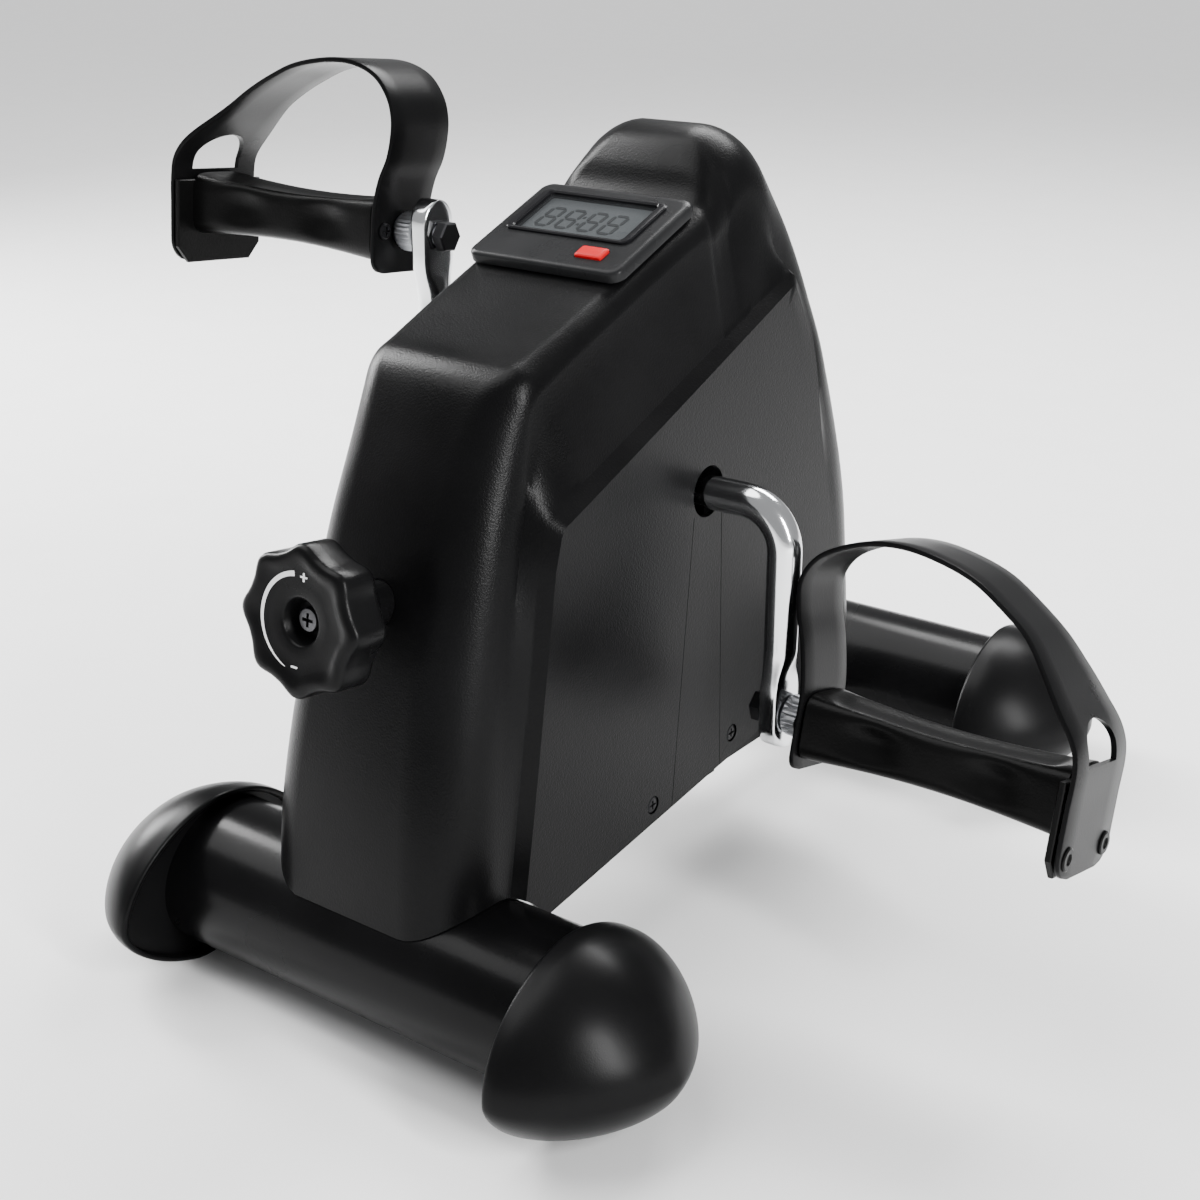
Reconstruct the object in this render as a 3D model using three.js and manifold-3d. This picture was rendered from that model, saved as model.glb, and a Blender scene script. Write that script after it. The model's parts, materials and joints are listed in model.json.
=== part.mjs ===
// Pedal exerciser. Two stabiliser tubes carry a steel rail and a bearing bracket. A bent
// one-piece crank turns in the bracket with a friction drum clamped to its middle, and a
// felt-lined band pulled by the front knob brakes the drum. A moulded housing drops over it.
// Millimetres, +Z up, -Y towards the user, origin on the floor at the middle of the footprint.
import * as THREE from 'three';
import { mergeVertices } from 'three/addons/utils/BufferGeometryUtils.js';
import Module from 'manifold-3d';

const wasm = await Module();
wasm.setup();

// ---------------------------------------------------------------- driving dimensions
const GAP = 0.3; // clearance between neighbouring pieces
const SHANK_RADIUS = 1.6; // of the screws in the housing and the straps

const TUBE_RADIUS = 30;
const TUBE_WALL = 1.6;
const TUBE_HALF_LENGTH = 94;
const TUBE_HEIGHT = 33.5; // axis above the floor
const TUBE_Y = 160.5; // each tube axis, in front of and behind the middle

const CAP_RIM_X = 83.5; // inner face of an end cap
const CAP_RIM_LEAN = 5.5; // the foot of the rim is this much further out than its top
const CAP_SKIRT = 6; // straight part before the dome starts
const CAP_DOME = 42; // length of the dome
const CAP_HALF_DEPTH = 49.3;
const CAP_OFFSET = 4.8; // the cap's middle is this far outward of the tube's axis
const CAP_WAIST_Z = 29.4; // height of the cap's widest line
const CAP_RISE = 39.5; // from there to the top
const CAP_DROP = 31.4; // from there to the bottom, before the foot is cut flat at the floor
const CAP_UPPER_POWER = 1.11; // how far its outline is drawn in from an ellipse, above that line
const CAP_LOWER_POWER = 1.25;
const CAP_DOME_POWER = 1.27;

const RAIL_WIDTH = 28;
const RAIL_BOTTOM = 30;
const RAIL_TOP = 45;
const RAIL_WALL = 2;

const CRANK_Y = -32;
const CRANK_Z = 182.5;
const CRANK_THROW = 81;
const ROD_RADIUS = 6.5;
const ARM_X = 84; // middle of each crank arm
const BEND_RADIUS = 17;
const EYE_RADIUS = 9; // half width of the flattened rod end
const EYE_END = 14; // from the spindle hole to the tip
const FLAT_LENGTH = 26; // from the spindle hole back to the round rod
const EYE_THICKNESS = 9;

const CHEEK_X = 31; // middle of each bearing cheek
const CHEEK_THICKNESS = 3;
const CHEEK_RADIUS = 22;
const BUSH_RADIUS = 10;
const BUSH_FLANGE_RADIUS = 14;

const DRUM_RADIUS = 44;
const DRUM_WIDTH = 26;
const BAND_THICKNESS = 1.2;
const LINING_THICKNESS = 2.5;
const LINING_WIDTH = 22;

const KNOB_FACE_Y = -200; // middle of the knob's front face
const KNOB_FACE_Z = 172.5;
const KNOB_TILT = THREE.MathUtils.degToRad(8); // the knob's axis rises towards the user
const KNOB_RADIUS = 26.5;
const KNOB_DEPTH = 17;
const KNOB_LOBES = 8;
const SCREW_RADIUS = 4;
const KNOB_SCREW_RADIUS = 1.9;
const COLLAR_RADIUS = 8; // of the collar in the housing's nose

const WALL = 2.5; // housing wall
const PANEL_X = 50; // outer face of the raised side panel
const LOWER_EDGE_Z = 47.5; // height of the housing's lower edge at LOWER_EDGE_Y
const LOWER_EDGE_Y = -134;
const LOWER_EDGE_RISE = 0.135;
const FAN_Y = -25; // the housing's sections fan out from this point of the lower edge

const MONITOR_WIDTH = 69;
const MONITOR_LENGTH = 53;
const MONITOR_TILT = THREE.MathUtils.degToRad(20.9);
const MONITOR_Y = -45.2; // middle of the monitor's top face
const MONITOR_Z = 278.4;

const PLATE_X = 101; // middle of the strap's inner end plate
const OUTER_PLATE_X = 207; // middle of the pedal's outer end plate
const STRAP_THICKNESS = 2.4;
const STRAP_WIDTH = 33;
const PLATE_WIDTH = 47; // of the strap's outer end and the plate behind it
const INNER_FOOT = -17; // lower end of the strap inside, below the spindle
const OUTER_FOOT = -25;
const SPINDLE_RADIUS = 5;
const PEDAL_PITCH_RIGHT = THREE.MathUtils.degToRad(-14); // both pedals rest nose up
const PEDAL_PITCH_LEFT = THREE.MathUtils.degToRad(-6);

const SIDES = { right: 1, left: -1 };
const ENDS = { front: -1, rear: 1 };
const ROUND = 24; // facets of an ordinary round piece
const SMALL_ROUND = 12;
const TUBE_FACETS = 36;
const CAP_FACETS = 26;

// ---------------------------------------------------------------- materials
function finish(color, roughness, metalness = 0) {
  return new THREE.MeshStandardMaterial({ color, roughness, metalness });
}

const material = {
  housing: finish(0x0b0b0c, 0.42),
  tube: finish(0x0a0a0a, 0.38, 0.2),
  cap: finish(0x0d0d0e, 0.5),
  steel: finish(0x7d8084, 0.4, 1),
  blackSteel: finish(0x151517, 0.45, 0.5),
  chrome: finish(0xd6d8da, 0.12, 1),
  nylon: finish(0xdcd9d0, 0.55),
  drum: finish(0x2a2b2d, 0.6),
  felt: finish(0x4a4640, 0.95),
  knob: finish(0x0e0e0f, 0.35),
  pedal: finish(0x0c0c0c, 0.45),
  strap: finish(0x101010, 0.4),
  bezel: finish(0x1c1d1f, 0.3),
  lens: finish(0x3a3d40, 0.08),
  lcd: finish(0x3d4043, 0.35),
  red: finish(0xc41f24, 0.35),
  board: finish(0x1f5a35, 0.6),
  magnet: finish(0x55565a, 0.35, 0.9),
};

// ---------------------------------------------------------------- geometry helpers
function toSolid(geometry) {
  const bare = geometry.clone();
  bare.deleteAttribute('normal');
  bare.deleteAttribute('uv');
  const merged = mergeVertices(bare, 1e-4);
  return new wasm.Manifold(new wasm.Mesh({
    numProp: 3,
    vertProperties: new Float32Array(merged.attributes.position.array),
    triVerts: new Uint32Array(merged.index.array),
  }));
}

function toGeometry(solid) {
  const mesh = solid.getMesh();
  const geometry = new THREE.BufferGeometry();
  geometry.setAttribute('position', new THREE.BufferAttribute(mesh.vertProperties, 3));
  geometry.setIndex(new THREE.BufferAttribute(mesh.triVerts, 1));
  return geometry;
}

function cut(geometry, ...tools) {
  let solid = toSolid(geometry);
  for (const tool of tools) {
    solid = solid.subtract(toSolid(tool));
  }
  return toGeometry(solid);
}

function join(geometry, ...others) {
  let solid = toSolid(geometry);
  for (const other of others) {
    solid = solid.add(toSolid(other));
  }
  return toGeometry(solid);
}

function keep(geometry, tool) {
  return toGeometry(toSolid(geometry).intersect(toSolid(tool)));
}

// A box given by its lowest and highest corners.
function box(low, high) {
  const size = high.map((value, i) => value - low[i]);
  const middle = high.map((value, i) => (value + low[i]) / 2);
  return new THREE.BoxGeometry(...size).translate(...middle);
}

// A cylinder along X, from x0 to x1.
function rodX(radius, x0, x1, y = 0, z = 0, facets = ROUND) {
  const rod = new THREE.CylinderGeometry(radius, radius, x1 - x0, facets);
  return rod.rotateZ(Math.PI / 2).translate((x0 + x1) / 2, y, z);
}

// A cylinder along Y, from y0 to y1.
function rodY(radius, y0, y1, x = 0, z = 0, facets = ROUND) {
  const rod = new THREE.CylinderGeometry(radius, radius, y1 - y0, facets);
  return rod.translate(x, (y0 + y1) / 2, z);
}

// A cylinder along Z, from z0 to z1.
function rodZ(radius, z0, z1, x = 0, y = 0, facets = ROUND) {
  const rod = new THREE.CylinderGeometry(radius, radius, z1 - z0, facets);
  return rod.rotateX(Math.PI / 2).translate(x, y, (z0 + z1) / 2);
}

// A profile of [radius, distance] points turned about X; distance runs along +X.
function turnX(profile, facets = ROUND) {
  const points = profile.map(([radius, along]) => new THREE.Vector2(radius, along));
  return new THREE.LatheGeometry(points, facets).rotateZ(-Math.PI / 2);
}

// A profile of [radius, distance] points turned about Y; distance runs along +Y.
function turnY(profile, facets = ROUND) {
  const points = profile.map(([radius, along]) => new THREE.Vector2(radius, along));
  return new THREE.LatheGeometry(points, facets);
}

// A flat outline of [y, z] points, from x0 to x1.
function plateX(outline, x0, x1) {
  const shape = new THREE.Shape(outline.map(([y, z]) => new THREE.Vector2(y, z)));
  const solid = new THREE.ExtrudeGeometry(shape, { depth: x1 - x0, bevelEnabled: false });
  // the shape's x becomes Y, its y becomes Z and its depth becomes X
  solid.applyMatrix4(new THREE.Matrix4().set(0, 0, 1, x0, 1, 0, 0, 0, 0, 1, 0, 0, 0, 0, 0, 1));
  return solid;
}

// An outline with rounded corners, as points: half sizes a and b, corner radius r.
function roundedOutline(a, b, r, steps = 3) {
  const points = [];
  const corners = [[1, 1, 0], [-1, 1, 1], [-1, -1, 2], [1, -1, 3]];
  for (const [sx, sy, quarter] of corners) {
    for (let i = 0; i <= steps; i += 1) {
      const angle = (quarter + i / steps) * Math.PI / 2;
      points.push([sx * (a - r) + r * Math.cos(angle), sy * (b - r) + r * Math.sin(angle)]);
    }
  }
  return points;
}

// A flat outline of [x, y] points, from z0 to z1.
function plateZ(outline, z0, z1) {
  const shape = new THREE.Shape(outline.map(([x, y]) => new THREE.Vector2(x, y)));
  return new THREE.ExtrudeGeometry(shape, { depth: z1 - z0, bevelEnabled: false }).translate(0, 0, z0);
}

// Rings of the same number of points, skinned in order, with both ends closed by a fan.
function loft(rings) {
  const positions = [];
  const triangles = [];
  const count = rings[0].length;
  for (const ring of rings) {
    for (const point of ring) {
      positions.push(...point);
    }
  }
  for (let i = 0; i + 1 < rings.length; i += 1) {
    for (let j = 0; j < count; j += 1) {
      const a = i * count + j;
      const b = i * count + (j + 1) % count;
      triangles.push(a, b, b + count, a, b + count, a + count);
    }
  }
  const last = (rings.length - 1) * count;
  for (let j = 1; j + 1 < count; j += 1) {
    triangles.push(0, j + 1, j);
    triangles.push(last, last + j, last + j + 1);
  }
  return outward(positions, triangles);
}

// A mesh from positions and triangles, turned inside out if its volume is negative.
function outward(positions, triangles) {
  let volume = 0;
  const at = (i) => new THREE.Vector3(...positions.slice(3 * i, 3 * i + 3));
  for (let i = 0; i < triangles.length; i += 3) {
    const [a, b, c] = [at(triangles[i]), at(triangles[i + 1]), at(triangles[i + 2])];
    volume += a.dot(b.cross(c));
  }
  if (volume < 0) {
    for (let i = 0; i < triangles.length; i += 3) {
      [triangles[i], triangles[i + 1]] = [triangles[i + 1], triangles[i]];
    }
  }
  const geometry = new THREE.BufferGeometry();
  geometry.setAttribute('position', new THREE.Float32BufferAttribute(positions, 3));
  geometry.setIndex(triangles);
  return geometry;
}

// A section swept along a path that lies in an XZ plane. The section is a list of
// [across, along Y] points; across is measured square to the path.
function sweepXZ(path, section) {
  const rings = path.map(([x, z], i) => {
    const [x0, z0] = path[Math.max(i - 1, 0)];
    const [x1, z1] = path[Math.min(i + 1, path.length - 1)];
    const length = Math.hypot(x1 - x0, z1 - z0);
    const normal = [(z0 - z1) / length, (x1 - x0) / length];
    return section(i).map(([across, y]) => [x + across * normal[0], y, z + across * normal[1]]);
  });
  return loft(rings);
}

function circle(radius, facets) {
  return Array.from({ length: facets }, (_, i) => {
    const angle = (i / facets) * 2 * Math.PI;
    return [radius * Math.cos(angle), radius * Math.sin(angle)];
  });
}

const root = new THREE.Group();

function add(name, geometry, look, parent = root) {
  const mesh = new THREE.Mesh(geometry, look);
  mesh.name = name;
  parent.add(mesh);
  return mesh;
}

// ---------------------------------------------------------------- base
function stabiliserTube() {
  const outside = rodX(TUBE_RADIUS, -TUBE_HALF_LENGTH, TUBE_HALF_LENGTH, 0, 0, TUBE_FACETS);
  const past = TUBE_HALF_LENGTH + 1;
  const inside = rodX(TUBE_RADIUS - TUBE_WALL, -past, past, 0, 0, TUBE_FACETS);
  return cut(outside, inside);
}

// A rod along X from `from` to `to`, both counted outwards on the right or left side.
function sideRod(hand, radius, from, to, y, z) {
  const ends = [hand * from, hand * to];
  return rodX(radius, Math.min(...ends), Math.max(...ends), y, z, SMALL_ROUND);
}

const signedPower = (value, power) => Math.sign(value) * Math.abs(value) ** power;

// A right-hand cap in place along X, with the tube's axis at y = 0: a dome with a soft shoulder
// that is fuller above its widest line than below. `outward` is the side of its offset.
function endCap(outward) {
  const ring = (x, share, lean = 0) => Array.from({ length: CAP_FACETS }, (_, i) => {
    const angle = (i / CAP_FACETS) * 2 * Math.PI;
    const upper = Math.sin(angle) > 0;
    const power = upper ? CAP_UPPER_POWER : CAP_LOWER_POWER;
    const across = signedPower(Math.cos(angle), power);
    const up = signedPower(Math.sin(angle), power) * (upper ? CAP_RISE : CAP_DROP);
    const z = CAP_WAIST_Z + share * up;
    const along = x + lean * (1 - z / (CAP_WAIST_Z + CAP_RISE));
    return [along, outward * CAP_OFFSET + share * CAP_HALF_DEPTH * across, z];
  });
  const rings = [ring(CAP_RIM_X, 0.985, CAP_RIM_LEAN), ring(CAP_RIM_X + 1.5, 1, CAP_RIM_LEAN)];
  for (const degrees of [0, 18, 34, 48, 60, 70, 78, 84, 88]) {
    const angle = THREE.MathUtils.degToRad(degrees);
    const x = CAP_RIM_X + CAP_SKIRT + CAP_DOME * Math.sin(angle) ** CAP_DOME_POWER;
    rings.push(ring(x, Math.cos(angle) ** CAP_DOME_POWER));
  }
  const socket = rodX(TUBE_RADIUS + GAP, CAP_RIM_X - 1, TUBE_HALF_LENGTH + GAP, 0, TUBE_HEIGHT, 30);
  const floor = box([0, -80, -20], [200, 80, 0]);
  return cut(loft(rings), socket, floor);
}

for (const [end, sign] of Object.entries(ENDS)) {
  const tube = add(`${end}_stabiliser_tube`, stabiliserTube(), material.tube);
  tube.position.set(0, sign * TUBE_Y, TUBE_HEIGHT);
  for (const [side, hand] of Object.entries(SIDES)) {
    const cap = add(`end_cap_${end}_${side}`, endCap(sign * hand), material.cap);
    cap.rotation.z = hand > 0 ? 0 : Math.PI;
    cap.position.set(0, sign * TUBE_Y, 0);
  }
}

function coreRail() {
  const reach = TUBE_Y - 8;
  const half = RAIL_WIDTH / 2;
  const outside = box([-half, -reach, RAIL_BOTTOM], [half, reach, RAIL_TOP]);
  const inside = box(
    [-half + RAIL_WALL, -reach - 1, RAIL_BOTTOM + RAIL_WALL],
    [half - RAIL_WALL, reach + 1, RAIL_TOP - RAIL_WALL],
  );
  const front = rodX(TUBE_RADIUS + GAP, -60, 60, -TUBE_Y, TUBE_HEIGHT, TUBE_FACETS);
  const rear = rodX(TUBE_RADIUS + GAP, -60, 60, TUBE_Y, TUBE_HEIGHT, TUBE_FACETS);
  return cut(outside, inside, front, rear);
}
add('frame_rail', coreRail(), material.tube);

// ---------------------------------------------------------------- bearing bracket and bushes
const BRACKET_BASE = RAIL_TOP + GAP;

function bearingBracket() {
  const outer = CHEEK_X + CHEEK_THICKNESS / 2;
  const baseBack = CRANK_Y + 36;
  const baseFront = CRANK_Y - 36;
  const base = box([-outer, baseFront, BRACKET_BASE], [outer, baseBack, BRACKET_BASE + CHEEK_THICKNESS]);
  const outline = [[baseFront, BRACKET_BASE], [baseBack, BRACKET_BASE]];
  for (let i = 0; i <= 8; i += 1) {
    const angle = (i / 8) * Math.PI;
    outline.push([CRANK_Y + CHEEK_RADIUS * Math.cos(angle), CRANK_Z + CHEEK_RADIUS * Math.sin(angle)]);
  }
  const cheeks = [-1, 1].map((hand) => {
    const middle = hand * CHEEK_X;
    return plateX(outline, middle - CHEEK_THICKNESS / 2, middle + CHEEK_THICKNESS / 2);
  });
  const bore = rodX(BUSH_RADIUS + GAP, -60, 60, CRANK_Y, CRANK_Z);
  return cut(join(base, ...cheeks), bore);
}
add('bearing_bracket', bearingBracket(), material.tube);

// A flanged bush, its flange towards +X, on the x axis with the cheek centred at x = 0.
function bush() {
  const half = CHEEK_THICKNESS / 2 + GAP;
  return turnX([
    [ROD_RADIUS + GAP, -half - 3], [BUSH_RADIUS, -half - 3], [BUSH_RADIUS, half],
    [BUSH_FLANGE_RADIUS, half], [BUSH_FLANGE_RADIUS, half + 3], [ROD_RADIUS + GAP, half + 3],
    [ROD_RADIUS + GAP, -half - 3],
  ]);
}
for (const [side, hand] of Object.entries(SIDES)) {
  const bearing = add(`crank_bush_${side}`, bush(), material.nylon);
  bearing.rotation.z = hand > 0 ? 0 : Math.PI;
  bearing.position.set(hand * CHEEK_X, CRANK_Y, CRANK_Z);
}

// ---------------------------------------------------------------- crank, drum and magnet
// Everything here turns about the crank's axis, so it hangs in one group at that axis.
const crank = new THREE.Group();
crank.position.set(0, CRANK_Y, CRANK_Z);
root.add(crank);

// The rod's centre line, in XZ: right arm down, across the middle, left arm up.
function crankPath() {
  const half = [[ARM_X, -CRANK_THROW]];
  const steps = 4;
  for (let i = 0; i <= steps; i += 1) {
    const angle = (i / steps) * Math.PI / 2;
    half.push([
      ARM_X - BEND_RADIUS + BEND_RADIUS * Math.cos(angle),
      -BEND_RADIUS + BEND_RADIUS * Math.sin(angle),
    ]);
  }
  return [...half, ...half.map(([x, z]) => [-x, -z]).reverse()];
}

// Each end of the rod is forged flat, with a rounded tip and a hole for the pedal spindle.
function crankRod() {
  let rod = sweepXZ(crankPath(), () => circle(ROD_RADIUS, 14));
  for (const hand of [1, -1]) {
    const low = hand * ARM_X - EYE_THICKNESS / 2;
    const high = hand * ARM_X + EYE_THICKNESS / 2;
    const pin = -hand * CRANK_THROW;
    const tip = pin - hand * (EYE_END - EYE_RADIUS);
    const shoulder = pin + hand * FLAT_LENGTH;
    const paddle = [[-ROD_RADIUS + 1, shoulder], [ROD_RADIUS - 1, shoulder]];
    for (let i = 0; i <= 8; i += 1) {
      const angle = (i / 8) * Math.PI;
      paddle.push([EYE_RADIUS * Math.cos(angle), tip - hand * EYE_RADIUS * Math.sin(angle)]);
    }
    const slab = (from, to) => box(
      [Math.min(from, to), -20, Math.min(shoulder, pin - hand * 30)],
      [Math.max(from, to), 20, Math.max(shoulder, pin - hand * 30)],
    );
    rod = cut(rod, slab(low, low - 10), slab(high, high + 10));
    rod = join(rod, plateX(paddle, low, high));
    rod = cut(rod, rodX(SPINDLE_RADIUS + GAP, low - 5, high + 5, 0, pin, SMALL_ROUND));
  }
  return rod;
}
add('crank_rod', crankRod(), material.chrome, crank);

// The drum is split on a flat through the crank's axis, so that it can close on the bent rod.
// Its web is thinner than its rim, and two bolts clamp the halves.
const DRUM_BOLT_Y = 25;
const DRUM_WEB = 12;
const DRUM_HUB_RADIUS = 17;
const DRUM_RIM_RADIUS = 37; // inside of the rim
const BOLT_RADIUS = 2.5;

function drumBlank() {
  const half = DRUM_WIDTH / 2;
  const web = DRUM_WEB / 2;
  const blank = turnX([
    [0, -half], [DRUM_HUB_RADIUS, -half], [DRUM_HUB_RADIUS, -web],
    [DRUM_RIM_RADIUS, -web], [DRUM_RIM_RADIUS, -half], [DRUM_RADIUS, -half],
    [DRUM_RADIUS, half], [DRUM_RIM_RADIUS, half], [DRUM_RIM_RADIUS, web],
    [DRUM_HUB_RADIUS, web], [DRUM_HUB_RADIUS, half], [0, half],
  ], 28);
  return cut(blank, rodX(ROD_RADIUS + GAP / 2, -30, 30, 0, 0, 14));
}

function drumHalf(sign) {
  const split = sign > 0
    ? box([-30, -60, GAP / 2], [30, 60, 60])
    : box([-30, -60, -60], [30, 60, -GAP / 2]);
  const bolts = [-1, 1].map((side) => rodZ(BOLT_RADIUS + GAP, -12, 12, 0, side * DRUM_BOLT_Y, 8));
  const heads = [-1, 1].map((side) => {
    return box([-7, side * DRUM_BOLT_Y - 6, 9], [7, side * DRUM_BOLT_Y + 6, 15]);
  });
  const nuts = [-1, 1].map((side) => {
    return box([-7, side * DRUM_BOLT_Y - 6, -15], [7, side * DRUM_BOLT_Y + 6, -9]);
  });
  return cut(keep(drumBlank(), split), ...bolts, ...heads, ...nuts);
}
add('drum_half_upper', drumHalf(1), material.drum, crank);
add('drum_half_lower', drumHalf(-1), material.drum, crank);

function hexOutline(radius) {
  return Array.from({ length: 6 }, (_, i) => {
    return [radius * Math.cos(i * Math.PI / 3), radius * Math.sin(i * Math.PI / 3)];
  });
}

for (const [place, side] of [['front', -1], ['rear', 1]]) {
  const bolt = join(
    rodZ(BOLT_RADIUS, -11.5, 12, 0, 0, 8),
    plateZ(hexOutline(4.6), 9 + GAP, 13),
    plateZ(hexOutline(4.6), -13, -9 - GAP),
  );
  add(`drum_bolt_${place}`, bolt, material.steel, crank).position.y = side * DRUM_BOLT_Y;
}

// A small magnet glued to the drum's right rim passes the reed sensor once a turn.
const MAGNET_RADIUS = 40.5;
const magnet = rodX(3, DRUM_WIDTH / 2 + GAP, DRUM_WIDTH / 2 + 3, 0, MAGNET_RADIUS, SMALL_ROUND);
add('speed_magnet', magnet, material.magnet, crank);

// ---------------------------------------------------------------- brake band
// An arc about the crank's axis, in YZ, between two radii, with a facet every ARC_STEP degrees.
const ARC_STEP = 15;
function arcBand(innerRadius, outerRadius, from, to, width) {
  const angles = [];
  for (let degrees = from; degrees <= to; degrees += ARC_STEP) {
    angles.push(THREE.MathUtils.degToRad(degrees));
  }
  const arc = (radius) => angles.map((angle) => [radius * Math.cos(angle), radius * Math.sin(angle)]);
  return plateX([...arc(outerRadius), ...arc(innerRadius).reverse()], -width / 2, width / 2);
}

const BAND_FROM = -60;
const BAND_TO = 195;
const LINING_RADIUS = DRUM_RADIUS + 2 * GAP;
const BAND_RADIUS = LINING_RADIUS + LINING_THICKNESS + GAP;

const lining = arcBand(LINING_RADIUS, LINING_RADIUS + LINING_THICKNESS, -45, 180, LINING_WIDTH);
add('brake_lining', lining, material.felt).position.set(0, CRANK_Y, CRANK_Z);

// Height of the tension screw's axis at a distance y along the part.
function screwAxisZ(y) {
  return KNOB_FACE_Z - (y - KNOB_FACE_Y) * Math.tan(KNOB_TILT);
}

// The band runs on past the lining: a foot bolted to the bracket's base at the back and a
// tab with a hole for the tension screw at the front.
const BAND_OUTER = BAND_RADIUS + BAND_THICKNESS;
const BAND_BACK_ANGLE = THREE.MathUtils.degToRad(BAND_FROM);
const BAND_FRONT_ANGLE = THREE.MathUtils.degToRad(BAND_TO);
const ANCHOR_Y = CRANK_Y + BAND_RADIUS * Math.cos(BAND_BACK_ANGLE) - 9;

function brakeBand() {
  const arc = arcBand(BAND_RADIUS, BAND_OUTER, BAND_FROM, BAND_TO, LINING_WIDTH);
  arc.translate(0, CRANK_Y, CRANK_Z);
  const half = LINING_WIDTH / 2;
  const backY = CRANK_Y + BAND_RADIUS * Math.cos(BAND_BACK_ANGLE);
  const backZ = CRANK_Z + BAND_RADIUS * Math.sin(BAND_BACK_ANGLE);
  const footZ = BRACKET_BASE + CHEEK_THICKNESS + GAP;
  const leg = box([-half, backY - 0.7, footZ], [half, backY + 0.8, backZ + 0.5]);
  const foot = box([-half, backY - 18, footZ], [half, backY + 0.8, footZ + BAND_THICKNESS]);
  const frontY = CRANK_Y + BAND_OUTER * Math.cos(BAND_FRONT_ANGLE);
  const frontZ = CRANK_Z + BAND_OUTER * Math.sin(BAND_FRONT_ANGLE);
  const axisZ = screwAxisZ(frontY);
  const tab = box([-half, frontY - 0.6, axisZ - 10], [half, frontY + 0.9, frontZ + 1]);
  const screwHole = rodY(SCREW_RADIUS + 1.5, frontY - 5, frontY + 5, 0, axisZ, SMALL_ROUND);
  const anchorHole = rodZ(3 + GAP, footZ - 2, footZ + 3, 0, ANCHOR_Y, SMALL_ROUND);
  return cut(join(arc, leg, foot, tab), screwHole, anchorHole);
}
add('brake_band', brakeBand(), material.steel);
const ANCHOR_Z = BRACKET_BASE + CHEEK_THICKNESS + 2 * GAP + BAND_THICKNESS;
const anchorBolt = join(rodZ(3, -GAP, 2, 0, 0, SMALL_ROUND), plateZ(hexOutline(5.5), GAP, 4));
add('band_anchor_bolt', anchorBolt, material.steel).position.set(0, ANCHOR_Y, ANCHOR_Z);

// ---------------------------------------------------------------- tension knob and screw
// The group's +Y runs along the knob's axis from its front face into the machine.
const tension = new THREE.Group();
tension.position.set(0, KNOB_FACE_Y, KNOB_FACE_Z);
tension.rotation.x = -KNOB_TILT;
root.add(tension);

const SCREW_START = 12.3;
const SCREW_END = 126;

function lobedOutline(radius, depth, points) {
  return Array.from({ length: points }, (_, i) => {
    const angle = (i / points) * 2 * Math.PI;
    const wave = Math.pow(0.5 + 0.5 * Math.cos(KNOB_LOBES * angle), 1.4);
    const r = radius - depth * (1 - wave);
    return [r * Math.cos(angle), r * Math.sin(angle)];
  });
}

function tensionKnob() {
  const ring = (radius, depth, y) => lobedOutline(radius, depth, 48).map(([x, z]) => [x, y, z]);
  const grip = loft([
    ring(KNOB_RADIUS - 2.2, 2, 0.6),
    ring(KNOB_RADIUS, 2.6, 2.4),
    ring(KNOB_RADIUS, 2.6, KNOB_DEPTH - 2),
    ring(KNOB_RADIUS - 2, 2, KNOB_DEPTH),
  ]);
  const hub = turnY([[0, KNOB_DEPTH - 2], [13, KNOB_DEPTH - 2], [10, 31], [0, 31]]);
  const recess = turnY([[0, -2], [9.5, -2], [8, 3], [7, 9], [0, 9]]);
  const screwHole = rodY(KNOB_SCREW_RADIUS + GAP, 5, 15, 0, 0, SMALL_ROUND);
  const bore = rodY(SCREW_RADIUS + GAP, SCREW_START - GAP, 40, 0, 0, SMALL_ROUND);
  return cut(join(grip, hub), recess, screwHole, bore);
}
add('tension_knob', tensionKnob(), material.knob, tension);

const tensionScrew = cut(
  rodY(SCREW_RADIUS, SCREW_START, SCREW_END, 0, 0, SMALL_ROUND),
  rodY(KNOB_SCREW_RADIUS + GAP, SCREW_START - 1, 22, 0, 0, SMALL_ROUND),
);
add('tension_screw', tensionScrew, material.steel, tension);

const knobScrew = join(
  rodY(4.4, 6, 9 - GAP, 0, 0, SMALL_ROUND),
  rodY(KNOB_SCREW_RADIUS, 8, 21, 0, 0, SMALL_ROUND),
);
add('knob_screw', knobScrew, material.chrome, tension);

// A flanged collar in the housing's nose guides the screw.
const COLLAR_FRONT = 33;
const COLLAR_BACK = 48;
function noseCollar() {
  return turnY([
    [SCREW_RADIUS + GAP, COLLAR_FRONT], [COLLAR_RADIUS, COLLAR_FRONT],
    [COLLAR_RADIUS, COLLAR_BACK], [SCREW_RADIUS + GAP, COLLAR_BACK],
    [SCREW_RADIUS + GAP, COLLAR_FRONT],
  ]);
}
add('nose_collar', noseCollar(), material.knob, tension);

// The nut, its spring and the hook that pulls the band ride along the screw together.
const NUT_START = 100;
const NUT_LENGTH = 8;
const tensionNut = cut(
  box([-9, NUT_START, -7], [9, NUT_START + NUT_LENGTH, 7]),
  rodY(SCREW_RADIUS + 2 * GAP, NUT_START - 1, NUT_START + NUT_LENGTH + 1, 0, 0, SMALL_ROUND),
);
add('tension_nut', tensionNut, material.steel, tension);

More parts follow.
